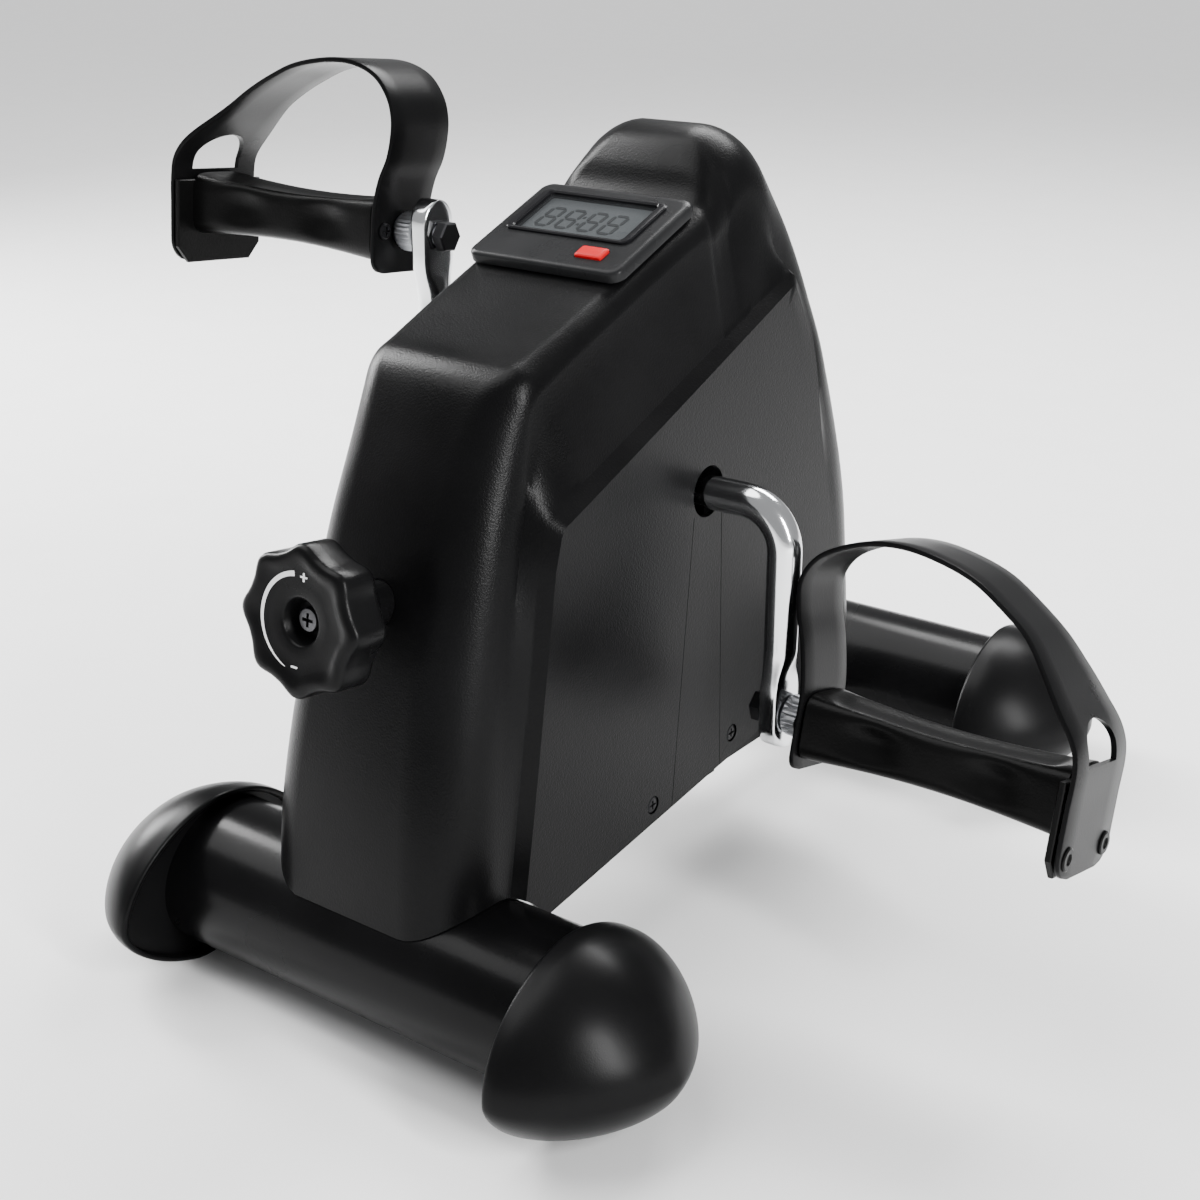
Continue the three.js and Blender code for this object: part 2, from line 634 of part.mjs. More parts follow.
const SPRING_RADIUS = 6.6; // to the middle of the wire
const SPRING_TURNS = 3.5;
const SPRING_LENGTH = 6.5;
const WIRE_RADIUS = 0.8;
function springWire() {
  const steps = Math.round(SPRING_TURNS * 10);
  const rings = Array.from({ length: steps + 1 }, (_, i) => {
    const angle = (i / steps) * SPRING_TURNS * 2 * Math.PI;
    const y = NUT_START + NUT_LENGTH + 1 + GAP + (i / steps) * SPRING_LENGTH;
    return circle(WIRE_RADIUS, 5).map(([a, b]) => {
      const reach = SPRING_RADIUS + a;
      return [reach * Math.cos(angle), y + b, reach * Math.sin(angle)];
    });
  });
  return loft(rings);
}
add('tension_spring', springWire(), material.steel, tension);

// ---------------------------------------------------------------- housing
// The housing's side outline from the front of its lower edge, up the nose, over the slope and
// the hump and down the back: [y, z, half width there, radius of the edge there].
function lowerEdgeZ(y) {
  return LOWER_EDGE_Z + LOWER_EDGE_RISE * (y - LOWER_EDGE_Y);
}

const OUTLINE = [
  [-184, lowerEdgeZ(-184), 47.5, 24], [-183.3, 56.5, 47.3, 24], [-181.2, 82.5, 46.6, 24],
  [-176.5, 110.5, 45.2, 24], [-167.5, 146.5, 43.2, 24], [-153.5, 189.5, 40.6, 23],
  [-142, 216.5, 38.5, 21], [-131.5, 236.5, 37, 17], [-123, 244, 37, 12], [-112, 247.8, 37, 10],
  [-85, 258, 37.5, 9], [-45, 273.3, 38, 9], [-21, 282.5, 38.5, 10], [-13, 288, 38.5, 14],
  [-7, 297.5, 38, 20], [2, 306.5, 37.5, 25], [15, 309.5, 37.5, 26], [28, 303.5, 38.5, 26],
  [40, 288, 40, 25], [49.5, 270, 42, 23], [57.5, 250, 44.5, 22], [65.5, 226.5, 48, 22],
  [76, 192.5, 50, 22], [87.5, 154.5, 50, 22], [93.5, 117.5, 50, 22], [96, 96.5, 50, 22],
  [97, lowerEdgeZ(97), 50, 22],
];

// The crease that runs round the raised side panel: [y, z, half width at its foot].
const CREASE = [[-152, 36, 46.5], [-148.5, 62, 46.3], [-126, 195.2, 45], [24, 254, 46], [90, 280, 50]];
const CHAMFER = 4.5; // from the crease up to the panel
const CREASE_FADE_Y = [10, 45]; // the crease dies away between these

const ARC_POINTS = 4;

function outlineAt(share) {
  const at = share * (OUTLINE.length - 1);
  const i = Math.min(Math.floor(at), OUTLINE.length - 2);
  const t = at - i;
  const p = [i - 1, i, i + 1, i + 2].map((k) => OUTLINE[THREE.MathUtils.clamp(k, 0, OUTLINE.length - 1)]);
  return p[0].map((_, k) => {
    const slope0 = (p[2][k] - p[0][k]) / 2;
    const slope1 = (p[3][k] - p[1][k]) / 2;
    const t2 = t * t;
    const t3 = t2 * t;
    return (2 * t3 - 3 * t2 + 1) * p[1][k] + (t3 - 2 * t2 + t) * slope0
      + (3 * t2 - 2 * t3) * p[2][k] + (t3 - t2) * slope1;
  });
}

const FAN_Z = lowerEdgeZ(FAN_Y);

// Where the ray from the fan point in direction (dy, dz) meets the crease.
function creaseOnRay(dy, dz) {
  for (let i = 0; i + 1 < CREASE.length; i += 1) {
    const [y0, z0, x0] = CREASE[i];
    const [y1, z1, x1] = CREASE[i + 1];
    const [ey, ez] = [y1 - y0, z1 - z0];
    const cross = dy * ez - dz * ey;
    const reach = ((y0 - FAN_Y) * ez - (z0 - FAN_Z) * ey) / cross;
    const along = ((y0 - FAN_Y) * dz - (z0 - FAN_Z) * dy) / cross;
    if (reach > 0 && along >= 0 && along <= 1) {
      return { reach, x: x0 + along * (x1 - x0) };
    }
  }
  return { reach: Infinity, x: PANEL_X };
}

// One half section of the housing, inset by a wall thickness: [x, y, z] from the middle of
// the outline out over the edge and down the side to the fan point.
function halfSection(share, inset) {
  const [y, z, width, edge] = outlineAt(share);
  const step = 0.002;
  const before = outlineAt(Math.max(share - step, 0));
  const after = outlineAt(Math.min(share + step, 1));
  const reach = Math.hypot(y - FAN_Y, z - FAN_Z);
  const [dy, dz] = [(y - FAN_Y) / reach, (z - FAN_Z) / reach];
  const tangent = new THREE.Vector2(after[0] - before[0], after[1] - before[1]).normalize();
  const facing = Math.max(Math.abs(dy * tangent.y - dz * tangent.x), 0.75);
  const rim = reach - inset / facing;
  const radius = Math.max(edge - inset, 1);
  const half = width - inset;
  const point = (x, distance) => [x, FAN_Y + dy * distance, FAN_Z + dz * distance];
  const points = [];
  for (let i = 0; i <= ARC_POINTS; i += 1) {
    const angle = (i / ARC_POINTS) * Math.PI / 2;
    const x = half - radius + radius * Math.sin(angle);
    points.push(point(x, rim - radius * (1 - Math.cos(angle)) / facing));
  }
  const shoulder = rim - radius / facing;
  const crease = creaseOnRay(dy, dz);
  const foot = Math.min(crease.reach, shoulder - 5);
  const fade = 1 - THREE.MathUtils.smoothstep(FAN_Y + dy * foot, ...CREASE_FADE_Y);
  const footX = Math.min(crease.x, PANEL_X) * fade + PANEL_X * (1 - fade) - inset;
  points.push(point(half + (footX - half) * 0.5, foot + (shoulder - foot) * 0.5));
  points.push(point(footX, foot));
  points.push(point(PANEL_X - inset, foot - CHAMFER));
  points.push(point(PANEL_X - inset, (foot - CHAMFER) * 0.5));
  return points;
}

function housingShell() {
  const sections = 39;
  const positions = [];
  const triangles = [];
  const skins = [];
  for (const inset of [0, WALL]) {
    const skin = [];
    for (let i = 0; i <= sections; i += 1) {
      const right = halfSection(i / sections, inset);
      const left = right.map(([x, y, z]) => [-x, y, z]);
      const row = [...right.reverse(), ...left].map((point) => {
        positions.push(...point);
        return positions.length / 3 - 1;
      });
      skin.push(row);
    }
    const centres = [1, -1].map((hand) => {
      positions.push(hand * (PANEL_X - inset), FAN_Y, FAN_Z);
      return positions.length / 3 - 1;
    });
    skins.push({ rows: skin, centres, flip: inset > 0 });
  }
  const face = (flip, a, b, c) => triangles.push(...(flip ? [a, c, b] : [a, b, c]));
  for (const { rows, centres, flip } of skins) {
    const count = rows[0].length;
    for (let i = 0; i < sections; i += 1) {
      for (let j = 0; j + 1 < count; j += 1) {
        face(flip, rows[i][j], rows[i][j + 1], rows[i + 1][j + 1]);
        face(flip, rows[i][j], rows[i + 1][j + 1], rows[i + 1][j]);
      }
      face(flip, centres[0], rows[i][0], rows[i + 1][0]);
      face(flip, centres[1], rows[i + 1][count - 1], rows[i][count - 1]);
    }
  }
  const [outer, inner] = skins;
  const edge = (k) => [outer, inner].map(({ rows, centres }) => {
    return [centres[0], ...rows[k], centres[1]];
  });
  for (const k of [0, sections]) {
    const [o, n] = edge(k);
    for (let j = 0; j + 1 < o.length; j += 1) {
      face(k > 0, o[j], n[j], n[j + 1]);
      face(k > 0, o[j], n[j + 1], o[j + 1]);
    }
  }
  return outward(positions, triangles);
}

// The slot below each crank exit, closed by a filler strip once the housing is on, as [y, z]
// points: it widens downwards and runs out through the lower edge, `below` past it.
const EXIT_RADIUS = 10;
const SLOT_FRONT = [-53.5, -41.5]; // at the lower edge, at the top
const SLOT_REAR = [-19.5, -22.5];
const SLOT_TOP = CRANK_Z - 8;

function slotOutline(margin, below) {
  const [frontFoot, frontTop] = SLOT_FRONT;
  const [rearFoot, rearTop] = SLOT_REAR;
  const outline = [
    [rearTop - margin, SLOT_TOP], [frontTop + margin, SLOT_TOP],
    [frontFoot + margin, lowerEdgeZ(frontFoot)],
  ];
  if (below > 0) {
    outline.push([frontFoot + margin, lowerEdgeZ(frontFoot) - below]);
    outline.push([rearFoot - margin, lowerEdgeZ(rearFoot) - below]);
  }
  return [...outline, [rearFoot - margin, lowerEdgeZ(rearFoot)]];
}

// The monitor's lower case sits in a pocket; the group's x, y run across and up the slope.
const monitor = new THREE.Group();
monitor.position.set(0, MONITOR_Y, MONITOR_Z);
monitor.rotation.x = MONITOR_TILT;
root.add(monitor);
const CASE_HALF = [29, 21]; // half width and half length of the lower case
const BEZEL_THICKNESS = 4.2;
const CASE_BOTTOM = -12;
const CELL_X = -14; // middle of the button cell and its cover
const COVER_HOLE_RADIUS = 7;

function monitorPocket() {
  const outline = roundedOutline(CASE_HALF[0] + GAP, CASE_HALF[1] + GAP, 4 + GAP, 2);
  const pocket = plateZ(outline, CASE_BOTTOM - 20, 5);
  return pocket.rotateX(MONITOR_TILT).translate(0, MONITOR_Y, MONITOR_Z);
}

// The two visible housing screws on each side: [y, z] on the panel.
const SIDE_SCREWS = { front: [-66, 64.5], rear: [-11, 74] };
const SIDE_HEAD_RADIUS = 3.4;

function housing() {
  const saddle = rodX(TUBE_RADIUS + 2 * GAP, -60, 60, -TUBE_Y, TUBE_HEIGHT, TUBE_FACETS);
  const below = box([-60, -200, -20], [60, -TUBE_Y, TUBE_HEIGHT + 8]);
  const noseHole = rodY(COLLAR_RADIUS + GAP, 20, 60).rotateX(-KNOB_TILT);
  noseHole.translate(0, KNOB_FACE_Y, KNOB_FACE_Z);
  const tools = [saddle, below, noseHole, monitorPocket()];
  for (const hand of [1, -1]) {
    const [low, high] = hand > 0 ? [40, 60] : [-60, -40];
    tools.push(plateX(slotOutline(0, 20), low, high));
    tools.push(rodX(EXIT_RADIUS, low, high, CRANK_Y, CRANK_Z));
    for (const [y, z] of Object.values(SIDE_SCREWS)) {
      tools.push(rodX(SHANK_RADIUS + GAP, low, high, y, z, 8));
      tools.push(sideRod(hand, SIDE_HEAD_RADIUS + GAP, PANEL_X - 1.2, PANEL_X + 2.8, y, z));
    }
  }
  return cut(housingShell(), ...tools);
}
add('housing', housing(), material.housing);

// A screw along +X at x = 0, its head's face at x = 0 and its shank behind it.
function panScrew(headRadius, headDepth, shankRadius, length, facets = 8) {
  return turnX([
    [0, -length], [shankRadius, -length], [shankRadius, -headDepth], [headRadius, -headDepth],
    [headRadius, -0.4], [headRadius * 0.7, 0], [0, 0],
  ], facets);
}

for (const [side, hand] of Object.entries(SIDES)) {
  const [low, high] = hand > 0 ? [PANEL_X - WALL, PANEL_X] : [-PANEL_X, WALL - PANEL_X];
  const strip = cut(
    plateX(slotOutline(GAP, 0), low, high),
    rodX(EXIT_RADIUS, -60, 60, CRANK_Y, CRANK_Z),
  );
  add(`slot_filler_${side}`, strip, material.housing);
  for (const [place, [y, z]] of Object.entries(SIDE_SCREWS)) {
    const shape = panScrew(SIDE_HEAD_RADIUS, 1, SHANK_RADIUS, 10);
    const screw = add(`housing_screw_${side}_${place}`, shape, material.blackSteel);
    screw.rotation.z = hand > 0 ? 0 : Math.PI;
    screw.position.set(hand * (PANEL_X - 0.2), y, z);
  }
}

// ---------------------------------------------------------------- monitor
const WINDOW_MIDDLE = [-1.5, 6];
const WINDOW_HALF = [28.5, 14.5];
const LCD_HALF = [24.5, 12.3];
const BUTTON_MIDDLE = [17, -16.5];
const BUTTON_HALF = [5.8, 3.2];

function rectangle(middle, half, z0, z1, corner = 1.5) {
  const outline = roundedOutline(half[0], half[1], corner, 2);
  return plateZ(outline, z0, z1).translate(middle[0], middle[1], 0);
}

const bezelPlate = join(
  rectangle([0, 0], [MONITOR_WIDTH / 2, MONITOR_LENGTH / 2], -BEZEL_THICKNESS, -0.8, 5),
  rectangle([0, 0], [MONITOR_WIDTH / 2 - 1, MONITOR_LENGTH / 2 - 1], -1, 0, 4.5),
  rectangle(WINDOW_MIDDLE, WINDOW_HALF, -1, 1.2, 3.5),
);
const buttonHole = rectangle(BUTTON_MIDDLE, BUTTON_HALF.map((h) => h + GAP), -9, 9, 0.8);
add('monitor_bezel', cut(
  bezelPlate,
  rectangle(WINDOW_MIDDLE, LCD_HALF, -9, 9, 1.5),
  buttonHole,
), material.bezel, monitor);

const caseTop = -BEZEL_THICKNESS - GAP;
add('monitor_case', cut(
  rectangle([0, 0], CASE_HALF, CASE_BOTTOM, caseTop, 4),
  rectangle([0, 0], CASE_HALF.map((h) => h - 1.6), CASE_BOTTOM + 1.6, 5, 3),
  rodZ(COVER_HOLE_RADIUS, CASE_BOTTOM - 1, CASE_BOTTOM + 3, CELL_X, 0, 16),
), material.bezel, monitor);

const lensHalf = LCD_HALF.map((h) => h - GAP);
add('lcd_panel', rectangle(WINDOW_MIDDLE, lensHalf, -3, -1.6, 1), material.lcd, monitor);
add('monitor_lens', rectangle(WINDOW_MIDDLE, lensHalf, -1.2, -0.2, 1), material.lens, monitor);
add('circuit_board', rectangle([0, 0], [26.5, 18.5], -6.4, -5, 1), material.board, monitor);
add('mode_button', join(
  rectangle(BUTTON_MIDDLE, BUTTON_HALF, -3, 1.4, 0.8),
  rectangle(BUTTON_MIDDLE, [2, 1.5], -3.8, -2.9, 0.5),
), material.red, monitor);
const cell = rodZ(5.7, CASE_BOTTOM + 1.2, CASE_BOTTOM + 4.4, CELL_X, 0, 16);
add('button_cell', cell, material.steel, monitor);
add('battery_cover', cut(
  rodZ(COVER_HOLE_RADIUS - GAP, CASE_BOTTOM - 0.2, CASE_BOTTOM + 0.9, CELL_X, 0, 16),
  box([CELL_X - 5, -0.8, CASE_BOTTOM - 1], [CELL_X + 5, 0.8, CASE_BOTTOM + 0.3]),
), material.bezel, monitor);

// ---------------------------------------------------------------- speed sensor and its lead
const SENSOR_X = DRUM_WIDTH / 2 + 3 + 1.5;
const SENSOR_Z = CRANK_Z - MAGNET_RADIUS;
add('reed_sensor', box(
  [SENSOR_X, CRANK_Y - 4, SENSOR_Z - 8],
  [CHEEK_X - CHEEK_THICKNESS / 2 - GAP, CRANK_Y + 4, SENSOR_Z + 8],
), material.knob);

// ---------------------------------------------------------------- pedals
// Each pedal is drawn about its own spindle: x outwards from the machine's middle, spindle at
// y = z = 0. Straps follow the shape a worn strap takes, so the two sides differ.
const STRAP_PATHS = {
  right: [
    [101, INNER_FOOT], [101, -9], [101, 0], [101, 14], [98, 30], [94, 43], [93, 54], [98, 63], [108, 69],
    [120, 73], [133, 74], [147, 72], [160, 68], [172, 61], [183, 53], [192, 43], [200, 33],
    [207, 24], [210, 15], [210, 0], [210, -14], [210, OUTER_FOOT],
  ],
  left: [
    [101, INNER_FOOT], [101, -9], [101, 0], [100.5, 10], [98, 20], [94.3, 28], [92.5, 36], [92.3, 44],
    [95, 52], [102, 59.5], [113, 63.5], [127, 64], [145, 61], [159, 55.5], [174, 47.5],
    [189, 37], [202, 27], [208.5, 19], [210, 10], [210, 0], [210, -14], [210, OUTER_FOOT],
  ],
};
const SPINDLE_HOLE = SPINDLE_RADIUS + GAP;
const BODY_FROM = PLATE_X + STRAP_THICKNESS / 2 + GAP;
const BODY_TO = OUTER_PLATE_X + 1;
const BODY_SCREW_Y = 11;
const STUD_Y = 17; // the strap's outer end hooks over two studs
const STUD_Z = -17;
const STUD_RADIUS = 3;
const STRAP_HEAD_DEPTH = 1.4; // of the screws through the strap's inner end

// Half width of the strap at a point of its path: rounded corners at both ends, and a band that
// widens to the outer end.
function strapHalfWidth(x, z, foot) {
  const corner = THREE.MathUtils.clamp((z - foot) / 8, 0, 1);
  const widening = THREE.MathUtils.smoothstep(x, 178, 206);
  const wide = STRAP_WIDTH + (PLATE_WIDTH - STRAP_WIDTH) * widening;
  return wide / 2 - 5 * (1 - corner) ** 2;
}

function pedalStrap(hand, side) {
  const path = STRAP_PATHS[side].map(([x, z]) => [hand * x, z]);
  const band = sweepXZ(path, (i) => {
    const [x, z] = STRAP_PATHS[side][i];
    const half = strapHalfWidth(x, z, x < 150 ? INNER_FOOT : OUTER_FOOT);
    const t = STRAP_THICKNESS / 2;
    return [[-t, -half], [t, -half], [t, half], [-t, half]];
  });
  const tools = [sideRod(hand, SPINDLE_HOLE + 0.5, 95, 105, 0, 0)];
  for (const sign of [-1, 1]) {
    tools.push(sideRod(hand, SHANK_RADIUS + GAP, 95, 105, sign * BODY_SCREW_Y, 0));
    tools.push(sideRod(hand, STUD_RADIUS + GAP, 205, 215, sign * STUD_Y, STUD_Z));
  }
  return cut(band, ...tools, strapWindow(hand));
}

// The arched window in the strap's outer end, just above the pedal body.
function strapWindow(hand) {
  const outline = [[-13, 14], [13, 14]];
  for (let i = 0; i <= 6; i += 1) {
    const angle = (i / 6) * Math.PI;
    outline.push([13 * Math.cos(angle), 20 + 9 * Math.sin(angle)]);
  }
  const [low, high] = hand > 0 ? [196, 216] : [-216, -196];
  return plateX(outline, low, high);
}

// The tread is a bar, slimmer in its middle, with the outer plate and its two studs in one piece.
function pedalBody(hand) {
  const from = BODY_FROM;
  const to = OUTER_PLATE_X - 1;
  const stations = [0, 0.06, 0.25, 0.5, 0.75, 0.94, 1];
  const rings = stations.map((share) => {
    const waist = Math.sin(share * Math.PI);
    const halfY = 15.5 - 2.5 * waist;
    const halfZ = 13 - 2.5 * waist;
    return roundedOutline(halfY, halfZ, 4, 2).map(([y, z]) => [hand * (from + share * (to - from)), y, z]);
  });
  const plate = [[-PLATE_WIDTH / 2, 10], [-PLATE_WIDTH / 2, -18], [-PLATE_WIDTH / 2 + 6, OUTER_FOOT]];
  const mirrored = plate.map(([y, z]) => [-y, z]).reverse();
  const span = (a, b) => [Math.min(hand * a, hand * b), Math.max(hand * a, hand * b)];
  const outerPlate = plateX([...plate, ...mirrored], ...span(to - 0.5, BODY_TO));
  const studs = [-1, 1].map((sign) => {
    const reach = span(to, BODY_TO + STRAP_THICKNESS + 2 * GAP + 1);
    return rodX(STUD_RADIUS, ...reach, sign * STUD_Y, STUD_Z, SMALL_ROUND);
  });
  const bore = rodX(SPINDLE_HOLE, ...span(from - 1, BODY_TO + 1), 0, 0, SMALL_ROUND);
  const headRoom = rodX(7.5, ...span(to - 8, BODY_TO + 1), 0, 0, SMALL_ROUND);
  const screwHoles = [-1, 1].map((sign) => {
    return rodX(SHANK_RADIUS + GAP, ...span(from - 1, from + 12), sign * BODY_SCREW_Y, 0, 8);
  });
  return cut(join(loft(rings), outerPlate, ...studs), bore, headRoom, ...screwHoles);
}

// The spindle screws into the crank, and its head keeps the pedal on. Its collar ends short of the
// strap's screw heads, which pass it as the pedal turns.
const COLLAR_END = 97.8;
function pedalSpindle() {
  return turnX([
    [0, 77], [SPINDLE_RADIUS - GAP, 77], [SPINDLE_RADIUS - GAP, 89], [8, 89], [8, COLLAR_END],
    [SPINDLE_RADIUS, COLLAR_END], [SPINDLE_RADIUS, 199], [6.6, 199], [6.6, 203], [0, 203],
  ], SMALL_ROUND);
}

function spindleNut(hand) {
  const nut = plateX(hexOutline(6.3), -2.6, 2.6);
  return cut(nut, rodX(SPINDLE_RADIUS, -5, 5, 0, 0, SMALL_ROUND)).translate(hand * 76.5, 0, 0);
}

const PEDAL_PITCH = { right: PEDAL_PITCH_RIGHT, left: PEDAL_PITCH_LEFT };
for (const [side, hand] of Object.entries(SIDES)) {
  const pedal = new THREE.Group();
  pedal.position.set(0, CRANK_Y, CRANK_Z - hand * CRANK_THROW);
  pedal.rotation.x = PEDAL_PITCH[side];
  root.add(pedal);
  add(`pedal_body_${side}`, pedalBody(hand), material.pedal, pedal);
  add(`pedal_strap_${side}`, pedalStrap(hand, side), material.strap, pedal);
  const spindle = add(`pedal_spindle_${side}`, pedalSpindle(), material.steel, pedal);
  spindle.rotation.z = hand > 0 ? 0 : Math.PI;
  add(`pedal_nut_${side}`, spindleNut(hand), material.blackSteel, pedal);
  for (const [place, sign] of Object.entries(ENDS)) {
    const shape = panScrew(3.2, STRAP_HEAD_DEPTH, SHANK_RADIUS, 12);
    const screw = add(`strap_screw_${side}_${place}`, shape, material.blackSteel, pedal);
    screw.rotation.z = hand > 0 ? Math.PI : 0;
    const face = PLATE_X - STRAP_THICKNESS / 2 - STRAP_HEAD_DEPTH - GAP;
    screw.position.set(hand * face, sign * BODY_SCREW_Y, 0);
  }
}

// The reed sensor's lead runs up inside the housing to the monitor, clear of the rod.
const leadPath = [
  [-32, SENSOR_Z + 8 + GAP], [-34, SENSOR_Z + 14], [-46, SENSOR_Z + 24], [-53, CRANK_Z - 8],
  [-54, CRANK_Z + 15], [-50, CRANK_Z + 50], [-47, 250], [-46, 262],
];
const lead = sweepXZ(leadPath, () => circle(1.2, 8));
lead.rotateZ(Math.PI / 2);
add('sensor_lead', lead, material.knob).position.x = 22;

export default root;
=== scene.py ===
"""Looks of the pedal exerciser: finer shells, pedals, straps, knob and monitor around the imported
frame, each with a procedural material. Shapes are drawn in millimetres and made in metres."""

import json
import math

import bmesh
import bpy
from mathutils import Matrix, Vector


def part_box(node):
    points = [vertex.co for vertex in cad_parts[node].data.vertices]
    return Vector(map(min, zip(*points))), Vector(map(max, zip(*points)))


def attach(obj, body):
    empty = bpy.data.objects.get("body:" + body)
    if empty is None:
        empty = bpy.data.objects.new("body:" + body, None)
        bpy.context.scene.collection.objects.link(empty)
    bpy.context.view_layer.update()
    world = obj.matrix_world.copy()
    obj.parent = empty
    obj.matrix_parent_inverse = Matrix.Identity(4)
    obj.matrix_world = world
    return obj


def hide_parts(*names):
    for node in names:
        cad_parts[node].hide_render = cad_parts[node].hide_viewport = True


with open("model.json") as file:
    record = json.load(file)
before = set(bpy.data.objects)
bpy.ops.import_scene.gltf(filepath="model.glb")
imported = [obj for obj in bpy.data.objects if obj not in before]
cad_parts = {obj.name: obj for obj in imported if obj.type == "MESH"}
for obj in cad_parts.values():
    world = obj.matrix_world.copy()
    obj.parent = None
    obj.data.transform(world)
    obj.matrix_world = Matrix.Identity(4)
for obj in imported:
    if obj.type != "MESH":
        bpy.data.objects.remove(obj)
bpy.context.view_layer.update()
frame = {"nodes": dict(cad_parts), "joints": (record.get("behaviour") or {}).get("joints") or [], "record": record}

MM = 0.001
AXIS = 0.01  # a radius near enough to a turned shape's axis, in mm
SIDES = {"right": 1, "left": -1}
ENDS = {"front": -1, "rear": 1}

# ------------------------------------------------------------ places taken from the frame
crank_joint = next(j for j in frame["joints"] if j["name"] == "crank_spin")
CRANK_Y = crank_joint["pos_m"][1] / MM
CRANK_Z = crank_joint["pos_m"][2] / MM
pedal_joint = next(j for j in frame["joints"] if j["name"] == "pedal_right_spin")
THROW = CRANK_Z - pedal_joint["pos_m"][2] / MM
knob_joint = next(j for j in frame["joints"] if j["name"] == "knob_turn")
KNOB_FACE = Vector(knob_joint["pos_m"]) / MM
KNOB_TILT = math.atan2(-knob_joint["axis"][2], knob_joint["axis"][1])
tube_low, tube_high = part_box("front_stabiliser_tube")
TUBE_RADIUS = (tube_high.z - tube_low.z) / 2 / MM
TUBE_HEIGHT = (tube_high.z + tube_low.z) / 2 / MM
TUBE_Y = -(tube_high.y + tube_low.y) / 2 / MM
TUBE_HALF_LENGTH = tube_high.x / MM

# ------------------------------------------------------------ sizes of the shapes, in mm
WALL = 2.5
PANEL_X = 50
FAN_Y = -25
MONITOR_TILT = math.radians(20.9)
MONITOR_MIDDLE = Vector((0, -45.2, 278.4))
PEDAL_PITCH = {"right": math.radians(-14), "left": math.radians(-6)}
ROD_RADIUS = 6.5
ARM_X = 84
BEND_RADIUS = 17


# ------------------------------------------------------------ mesh helpers
def smoothstep(value, low, high):
    t = min(max((value - low) / (high - low), 0.0), 1.0)
    return t * t * (3 - 2 * t)


def make(name, points, faces, place=None, sharp=32.0):
    """A mesh object from points in millimetres, put in place by a matrix in millimetres."""
    mesh = bpy.data.meshes.new(name)
    move = place or Matrix.Identity(4)
    mesh.from_pydata([(move @ Vector(p)) * MM for p in points], [], faces)
    cleaner = bmesh.new()
    cleaner.from_mesh(mesh)
    bmesh.ops.remove_doubles(cleaner, verts=cleaner.verts, dist=1e-6)
    bmesh.ops.recalc_face_normals(cleaner, faces=cleaner.faces)
    cleaner.to_mesh(mesh)
    cleaner.free()
    piece = bpy.data.objects.new(name, mesh)
    bpy.context.scene.collection.objects.link(piece)
    smooth(piece, sharp)
    return piece


def smooth(piece, sharp=32.0):
    for face in piece.data.polygons:
        face.use_smooth = True
    piece.data.set_sharp_from_angle(angle=math.radians(sharp))


def loft(name, rings, place=None, closed=False, sharp=32.0):
    """Rings of equally many points, joined by quads: capped at both ends, or closed on itself."""
    count = len(rings[0])
    points = [p for ring in rings for p in ring]
    faces = []
    for i in range(len(rings) if closed else len(rings) - 1):
        low, high = i * count, (i + 1) % len(rings) * count
        for j in range(count):
            k = (j + 1) % count
            faces.append((low + j, low + k, high + k, high + j))
    if not closed:
        faces.append(tuple(range(count)))
        faces.append(tuple(range((len(rings) - 1) * count, len(rings) * count)))
    return make(name, points, faces, place, sharp)


def rounded_rectangle(half_a, half_b, corner, steps=6):
    """Points of a rectangle with round corners, about its middle."""
    points = []
    for quarter, (sign_a, sign_b) in enumerate([(1, 1), (-1, 1), (-1, -1), (1, -1)]):
        for i in range(steps + 1):
            angle = (quarter + i / steps) * math.pi / 2
            a = sign_a * (half_a - corner) + corner * math.cos(angle)
            b = sign_b * (half_b - corner) + corner * math.sin(angle)
            points.append((a, b))
    return points


def turn_x(name, profile, place=None, facets=48, sharp=32.0, ripple=None):
    """A body turned about x from (radius, x) points, closed on the axis or on itself."""
    rings = []
    for radius, x in profile:
        ring = []
        for i in range(facets):
            angle = 2 * math.pi * i / facets
            r = radius + (ripple(radius, x, angle) if ripple else 0)
            ring.append((x, r * math.cos(angle), r * math.sin(angle)))
        rings.append(ring)
    return loft(name, rings, place, sharp=sharp)


def cut(piece, cutters, sharp=32.0):
    """Cuts each cutter out of a piece and takes the cutters away."""
    for cutter in cutters:
        modifier = piece.modifiers.new("cut", "BOOLEAN")
        modifier.operation = "DIFFERENCE"
        modifier.solver = "EXACT"
        modifier.object = cutter
    bpy.context.view_layer.update()
    evaluated = piece.evaluated_get(bpy.context.evaluated_depsgraph_get())
    piece.data = bpy.data.meshes.new_from_object(evaluated)
    piece.modifiers.clear()
    for cutter in cutters:
        bpy.data.objects.remove(cutter)
    smooth(piece, sharp)
    return piece


def spline(points, per_span):
    """A smooth line through points of any dimension, with per_span steps between neighbours."""
    line = []
    last = len(points) - 1
    for i in range(last):
        p = [points[max(i - 1, 0)], points[i], points[i + 1], points[min(i + 2, last)]]
        for step in range(per_span):
            t = step / per_span
            line.append([hermite(t, *(q[k] for q in p)) for k in range(len(points[0]))])
    line.append(list(points[-1]))
    return line


def hermite(t, before, start, end, after):
    slope_start, slope_end = (end - before) / 2, (after - start) / 2
    t2, t3 = t * t, t * t * t
    return ((2 * t3 - 3 * t2 + 1) * start + (t3 - 2 * t2 + t) * slope_start
            + (3 * t2 - 2 * t3) * end + (t3 - t2) * slope_end)


def finish_piece(piece, body, slot, material, *nodes):
    """Gives a piece its material and its body, and hides the nodes it stands for; slot is not used."""
    piece.data.materials.clear()
    piece.data.materials.append(material)
    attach(piece, body)
    if nodes:
        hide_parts(*nodes)


